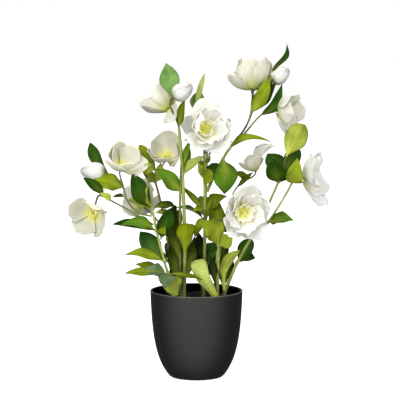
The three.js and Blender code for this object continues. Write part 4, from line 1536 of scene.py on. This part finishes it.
class HELLEBORE_OT_stems(bpy.types.Operator):
    """Draw stems and boughs along their curves, with a ridged skin"""

    bl_idname = "hellebore.stems"
    bl_label = "Stems and boughs"

    def execute(self, context):
        sizes = context.scene.hellebore_limbs
        limbs = all_limbs()
        level = context.scene.hellebore_pot.fill / MM
        drawn_limbs = {}
        for name, limb in limbs.items():
            stoutness = STOUT_LIMBS.get(name, 1.0)
            drawn_limbs[name] = Limb(limb.curve, stoutness * limb.foot, stoutness * limb.tip)
        for name, (foot, middle, tip) in SIDE_STEMS.items():
            curve = bow((*foot, level + GAP), middle, tip)
            drawn_limbs[name] = Limb(curve, sizes.side_stem / MM, sizes.stem_tip / MM)
        green = stem_finish("stem_skin", hues().bark, hues().stem)
        brown = stem_finish("brown_stem_skin", hues().brown, hues().bark)
        drawn = []
        for name, limb in drawn_limbs.items():
            drawn.append(self.draw_limb(name, limb))
            drawn[-1].data.materials.append(brown if name in DARK_LIMBS else green)
        bpy.ops.object.select_all(action="DESELECT")
        for piece in drawn:
            piece.select_set(True)
        context.view_layer.objects.active = drawn[0]
        bpy.ops.object.join()
        piece = context.object
        piece.name = "stems_and_boughs"
        ridges = bpy.data.textures.new("stem_ridges", "STUCCI")
        ridges.noise_scale = RIDGE_SCALE
        skin = piece.modifiers.new("skin", "DISPLACE")
        skin.texture = ridges
        skin.strength = sizes.relief
        skin.mid_level = 0.5
        bpy.ops.object.modifier_apply(modifier="skin")
        bpy.ops.object.shade_smooth()
        settle(piece, list(limbs))
        return {"FINISHED"}

    def draw_limb(self, name, limb):
        """One limb as a bevelled curve turned into a mesh."""
        start, pull, tip = limb.curve.points * MM
        if name not in BOUGHS:
            start = start - np.array([0, 0, STEM_SINK * MM])
        bpy.ops.object.select_all(action="DESELECT")
        bpy.ops.curve.primitive_bezier_curve_add()
        piece = bpy.context.object
        piece.name = name + "_skin"
        line = piece.data
        line.dimensions = "3D"
        line.bevel_depth = MM
        line.bevel_resolution = LIMB_ROUNDNESS
        line.resolution_u = LIMB_STEPS
        line.use_fill_caps = True
        first, last = line.splines[0].bezier_points
        for point in (first, last):
            point.handle_left_type = "FREE"
            point.handle_right_type = "FREE"
        first.co, last.co = start, tip
        first.handle_left = start - (pull - start) / 3
        first.handle_right = start + (pull - start) * 2 / 3
        last.handle_left = tip + (pull - tip) * 2 / 3
        last.handle_right = tip + (tip - pull) / 3
        first.radius, last.radius = limb.foot, limb.tip
        bpy.ops.object.convert(target="MESH")
        return bpy.context.object


# Stalks and sleeves: their grids, the radii of their ends and where they swell, in millimetres or as shares
STALK_STEPS = 18
STALK_SIDES = 10
STALK_TAPER = 0.7
RECEPTACLE = 2.6
SHOOT_TIP = 0.7
SWELLING_START = 0.82
SWELLING_LENGTH = 0.18
SLEEVE_STEPS = 7
SLEEVE_LENGTH = 7.0
SLEEVE_WALL = 0.15
SLEEVE_SWELL = 0.9
SLEEVE_POWER = 2.5


class HELLEBORE_OT_twigs(bpy.types.Operator):
    """Make the flower stalks, which swell under the flowers, and the sleeves that hold the leaves"""

    bl_idname = "hellebore.twigs"
    bl_label = "Stalks and sleeves"

    def execute(self, context):
        limbs = all_limbs()
        share = np.linspace(0, 1, STALK_STEPS)
        thin = context.scene.hellebore_limbs.stalk / MM
        thick = context.scene.hellebore_limbs.stalk_foot / MM
        skin = stem_finish("stalk_skin", hues().brown, hues().bark)
        sleeve_skin = stem_finish("sleeve_skin", hues().bark, hues().stem)
        curves = []
        radii = []
        for name, curve, row in all_stalks(limbs):
            top = SHOOT_TIP if row["kind"] == "shoot" else RECEPTACLE
            swelling = (top - thin) * np.clip((share - SWELLING_START) / SWELLING_LENGTH, 0, 1) ** 2
            curves.append(curve.at(share))
            radii.append(thin + (thick - thin) * np.clip(1 - share / STALK_TAPER, 0, 1) + swelling)
        shoots = []
        for name, (host, at, rows) in SPRAYS.items():
            if all(row["kind"] == "shoot" for row in rows):
                shoots.append(name)
        new_piece("stalks", joined_tubes("stalks", curves, radii, STALK_SIDES, skin), shoots)
        self.sleeves(limbs, sleeve_skin)
        return {"FINISHED"}

    def sleeves(self, limbs, skin):
        """Collars slipped over the limbs, one for each group of leaves."""
        curves = []
        radii = []
        step = np.linspace(-1, 1, SLEEVE_STEPS)
        for host, share, leaves in WHORLS.values():
            limb = limbs[host]
            along = limb.curve.tangent(share)
            curves.append(limb.curve.at(share) + along * (0.5 * SLEEVE_LENGTH * step)[:, None])
            swell = SLEEVE_SWELL * (1 - np.abs(step) ** SLEEVE_POWER)
            radii.append(limb.radius(share) + SLEEVE_WALL + swell)
        new_piece("leaf_sleeves", joined_tubes("leaf_sleeves", curves, radii, STALK_SIDES, skin))


# Width in millimetres at which a leaf counts as broad, and how tall leaves are against their width
BROAD_LEAF = 20
LEAF_CELL_TALL = 2.2


class HELLEBORE_OT_leaves(bpy.types.Operator):
    """Grow the leaves: folded, arched blades with midrib and veins, in several greens"""

    bl_idname = "hellebore.leaves"
    bl_label = "Leaves"

    def execute(self, context):
        limbs = all_limbs()
        leaves = all_leaves(limbs, all_stalks(limbs))
        finishes = [leaf_finish(name) for name in LEAF_FINISHES]
        broad = [leaf for leaf in leaves if leaf[2]["wide"] >= BROAD_LEAF]
        slim = [leaf for leaf in leaves if leaf[2]["wide"] < BROAD_LEAF]
        for name, group, nodes in (("broad_leaves", broad, list(WHORLS)), ("slim_leaves", slim, [])):
            pairs = [TINTS[row["tint"]] for front, back, row in group]
            upper = [LEAF_FINISHES.index(pair[0]) for pair in pairs]
            under = [LEAF_FINISHES.index(pair[1]) for pair in pairs]
            mesh = joined_sheets(name, group, upper, under, finishes, LEAF_CELL_TALL)
            new_piece(name, mesh, nodes)
        return {"FINISHED"}


def spray_rows(kind):
    """Rows of one kind on every spray, each with the name of its spray."""
    found = []
    for name, (host, share, rows) in SPRAYS.items():
        found.extend((name, row) for row in rows if row["kind"] == kind)
    return found


# Tones of petals by the name of their colour, where cream is partly the petals' own hue and partly painted
# shade and shade is painted shade only, and how far the tint reaches outside and on buds
TONES = {"white": "petal", "cream": "petal_cream_and_shade", "shade": "petal_shade"}
OUTSIDE_TINT = 0.6
BUD_TINT = 0.3

# Heart of a flower, in millimetres; stamens lean and spread by degrees, nectaries by radians
HEART_SEAT = 1.5
HEART_STEPS = 4
HEART_SIDES = 5
HEART_DARK = 0.92
GOLDEN_TURN = 2.39996
STAMENS = 18
STAMEN_LEAN = 4
STAMEN_SPREAD = 26
STAMEN_STRAY = 3
STAMEN_LENGTHS = (3.5, 6.0)
STAMEN_RING = 1.6
STAMEN_RADIUS = 0.3
ANTHER_SINK = 0.8
ANTHER_LENGTH = 2.2
ANTHER_RADII = (0.25, 0.8, 0.75, 0.2)
NECTARIES = 9
NECTARY_RING = 2.4
NECTARY_LENGTHS = (4.5, 6.0)
NECTARY_RADII = (0.8, 1.1, 1.5, 1.0)
NECTARY_LEAN = 0.75


class HELLEBORE_OT_flowers(bpy.types.Operator):
    """Open the flowers: rings of petals round a yellow-green heart of stamens"""

    bl_idname = "hellebore.flowers"
    bl_label = "Flowers"

    def execute(self, context):
        names = [name for name, flower in spray_rows("flower")]
        flowers = [flower for name, flower in spray_rows("flower")]
        tones = list(TONES)
        chance = np.random.default_rng(SEED + 2)
        for title, values in PETAL_RINGS.items():
            ring = dict(zip(RING_FIELDS, values))
            ringed = [flower for flower in flowers if title in flower["rings"]]
            sheets = ring_of_petals(ringed, ring, chance)
            inside = ("inside", ring["tinted"], hues().throat)
            outside = ("outside", OUTSIDE_TINT, hues().petal_base)
            finishes = []
            for tone in tones:
                body = getattr(hues(), TONES[tone])
                for side, reach, tint in inside, outside:
                    finishes.append(petal_finish(f"{tone}_{title}_{side}", reach, tint, body))
            slots = np.array([2 * tones.index(f["tone"]) for f in ringed for i in range(f["count"])])
            mesh = joined_sheets(title, sheets, slots, slots + 1, finishes)
            new_piece(title, mesh, names if title == "outer_petals" else [])
        self.hearts(flowers, chance)
        return {"FINISHED"}

    def hearts(self, flowers, chance):
        """Stamens with their anthers, and short nectaries round them."""
        threads = []
        thread_radii = []
        tips = []
        tip_radii = []
        step = np.linspace(0, 1, HEART_STEPS)[:, None]
        for flower in flowers:
            axis, up, across = flower_frame(flower["face"])
            seat = np.array(flower["heart"], float) + axis * HEART_SEAT
            for i in range(STAMENS):
                turn = GOLDEN_TURN * i
                outer = math.sqrt(i / STAMENS)
                stray = chance.uniform(-STAMEN_STRAY, STAMEN_STRAY)
                spread = math.radians(STAMEN_LEAN + STAMEN_SPREAD * outer + stray)
                outwards = up * math.cos(turn) + across * math.sin(turn)
                way = axis * math.cos(spread) + outwards * math.sin(spread)
                reach = chance.uniform(*STAMEN_LENGTHS)
                base = seat + outwards * STAMEN_RING * outer
                threads.append(base + way * (reach * step))
                thread_radii.append(np.full(HEART_STEPS, STAMEN_RADIUS))
                tips.append(base + way * (reach - ANTHER_SINK + ANTHER_LENGTH * step))
                tip_radii.append(ANTHER_RADII)
            for i in range(NECTARIES):
                turn = 2 * math.pi * i / NECTARIES
                outwards = up * math.cos(turn) + across * math.sin(turn)
                way = axis * math.cos(NECTARY_LEAN) + outwards * math.sin(NECTARY_LEAN)
                reach = chance.uniform(*NECTARY_LENGTHS)
                threads.append(seat + outwards * NECTARY_RING + way * (reach * step))
                thread_radii.append(NECTARY_RADII)
        green = plain_finish("heart_green", scaled(hues().heart, HEART_DARK), hues().heart, 120.0, 0.6)
        pollen = plain_finish("anther_cream", hues().heart, hues().anther, 200.0, 0.7)
        new_piece("stamens", joined_tubes("stamens", threads, thread_radii, HEART_SIDES, green))
        new_piece("anthers", joined_tubes("anthers", tips, tip_radii, HEART_SIDES, pollen))


class HELLEBORE_OT_buds(bpy.types.Operator):
    """Wrap the closed buds in their petals"""

    bl_idname = "hellebore.buds"
    bl_label = "Buds"

    def execute(self, context):
        buds = [bud for name, bud in spray_rows("bud")]
        sheets = bud_sheets(buds, np.random.default_rng(SEED + 3))
        slots = np.zeros(len(sheets), int)
        skin = petal_finish("bud_skin", BUD_TINT, hues().petal_base, hues().bud)
        new_piece("bud_petals", joined_sheets("bud_petals", sheets, slots, slots, [skin]))
        return {"FINISHED"}


# Lights: place in metres, width and the name of their power
LIGHTS = {
    "key_light": ((-1.3, -2.2, 1.5), 1.3, "key"),
    "side_light": ((1.9, -1.9, 1.3), 1.2, "side"),
    "top_light": ((-0.2, 1.2, 2.4), 1.6, "top"),
}

# Direction of the broad front light in the surround, and the cosine at which it has faded out
FRONT_LIGHT = (-0.087, -0.95, 0.3)
FRONT_LIGHT_EDGE = -0.35
WHITE = (1, 1, 1, 1)


class HELLEBORE_OT_stage(bpy.types.Operator):
    """Set the pale floor, the soft lights and the camera"""

    bl_idname = "hellebore.stage"
    bl_label = "Stage"

    def execute(self, context):
        stage = context.scene.hellebore_stage
        self.floor(stage)
        self.sky(context.scene, stage)
        target = np.array([0.0, 0.0, stage.target_height])
        for name, (place, side, power) in LIGHTS.items():
            data = bpy.data.lights.new(name, "AREA")
            data.shape = "DISK"
            data.size = side
            data.energy = getattr(stage, power)
            light = bpy.data.objects.new(name, data)
            light.visible_camera = False
            self.aim(context.scene, light, place, target)
        data = bpy.data.cameras.new("camera")
        data.lens = stage.lens
        camera = bpy.data.objects.new("camera", data)
        place = (stage.camera_aside, -stage.camera_distance, stage.camera_height)
        self.aim(context.scene, camera, place, np.array([stage.camera_aside, 0.0, stage.target_height]))
        context.scene.camera = camera
        context.scene.view_settings.view_transform = "Standard"
        return {"FINISHED"}

    def aim(self, scene, thing, place, target):
        """Places a light or the camera and turns it to its target."""
        scene.collection.objects.link(thing)
        thing.location = place
        way = thing.location.copy()
        way.x, way.y, way.z = (target - np.array(place)).tolist()
        thing.rotation_euler = way.to_track_quat("-Z", "Y").to_euler()

    def floor(self, stage):
        """Wide white floor under the pot."""
        bpy.ops.object.select_all(action="DESELECT")
        bpy.ops.mesh.primitive_plane_add(size=stage.floor, location=(0, 0, 0))
        floor = bpy.context.object
        floor.name = "pale_floor"
        made = new_finish("pale_floor")
        made.fill_in({"Base Color": (0.5, 0.5, 0.5, 1), "Roughness": 0.9})
        made.fill_in({"Emission Color": WHITE, "Emission Strength": stage.floor_glow})
        floor.data.materials.append(made.owner)
        floor.visible_diffuse = False
        floor.visible_glossy = False

    def sky(self, scene, stage):
        """White backdrop, with a softer strength as light."""
        scene.world = bpy.data.worlds.new("studio")
        made = Nodes(scene.world)
        place = made.add("ShaderNodeTexCoord").outputs["Generated"]
        facing = made.add("ShaderNodeVectorMath", {0: place, 1: FRONT_LIGHT}, operation="DOT_PRODUCT")
        glow = made.add(
            "ShaderNodeMapRange",
            {"Value": facing.outputs["Value"], "From Min": FRONT_LIGHT_EDGE},
            interpolation_type="SMOOTHSTEP",
        )
        made.feed(glow.inputs["To Min"], stage.sky)
        made.feed(glow.inputs["To Max"], stage.front)
        seen = made.add("ShaderNodeLightPath").outputs["Is Camera Ray"]
        strength = made.add("ShaderNodeMapRange", {"Value": seen, "To Min": glow, "To Max": 1.0})
        made.fill_in({"Color": WHITE, "Strength": strength})


OPERATORS = (
    HELLEBORE_OT_pot,
    HELLEBORE_OT_fill,
    HELLEBORE_OT_stems,
    HELLEBORE_OT_twigs,
    HELLEBORE_OT_leaves,
    HELLEBORE_OT_flowers,
    HELLEBORE_OT_buds,
    HELLEBORE_OT_stage,
)


class HELLEBORE_PT_panel(bpy.types.Panel):
    """Lists the steps that build the plant"""

    bl_idname = "HELLEBORE_PT_panel"
    bl_label = "Potted Hellebore"
    bl_space_type = "VIEW_3D"
    bl_region_type = "UI"
    bl_category = "Hellebore"

    def draw(self, context):
        for operator in OPERATORS:
            self.layout.operator(operator.bl_idname)


def register():
    for group in GROUPS.values():
        bpy.utils.register_class(group)
    for name, group in GROUPS.items():
        setattr(bpy.types.Scene, name, bpy.props.PointerProperty(type=group))
    for operator in OPERATORS:
        bpy.utils.register_class(operator)
    bpy.utils.register_class(HELLEBORE_PT_panel)


def unregister():
    bpy.utils.unregister_class(HELLEBORE_PT_panel)
    for operator in reversed(OPERATORS):
        bpy.utils.unregister_class(operator)
    for name in GROUPS:
        delattr(bpy.types.Scene, name)
    for group in reversed(GROUPS.values()):
        bpy.utils.unregister_class(group)


def main():
    register()
    for step in OPERATORS:
        family, name = step.bl_idname.split(".")
        getattr(getattr(bpy.ops, family), name)()


if __name__ == "__main__":
    main()
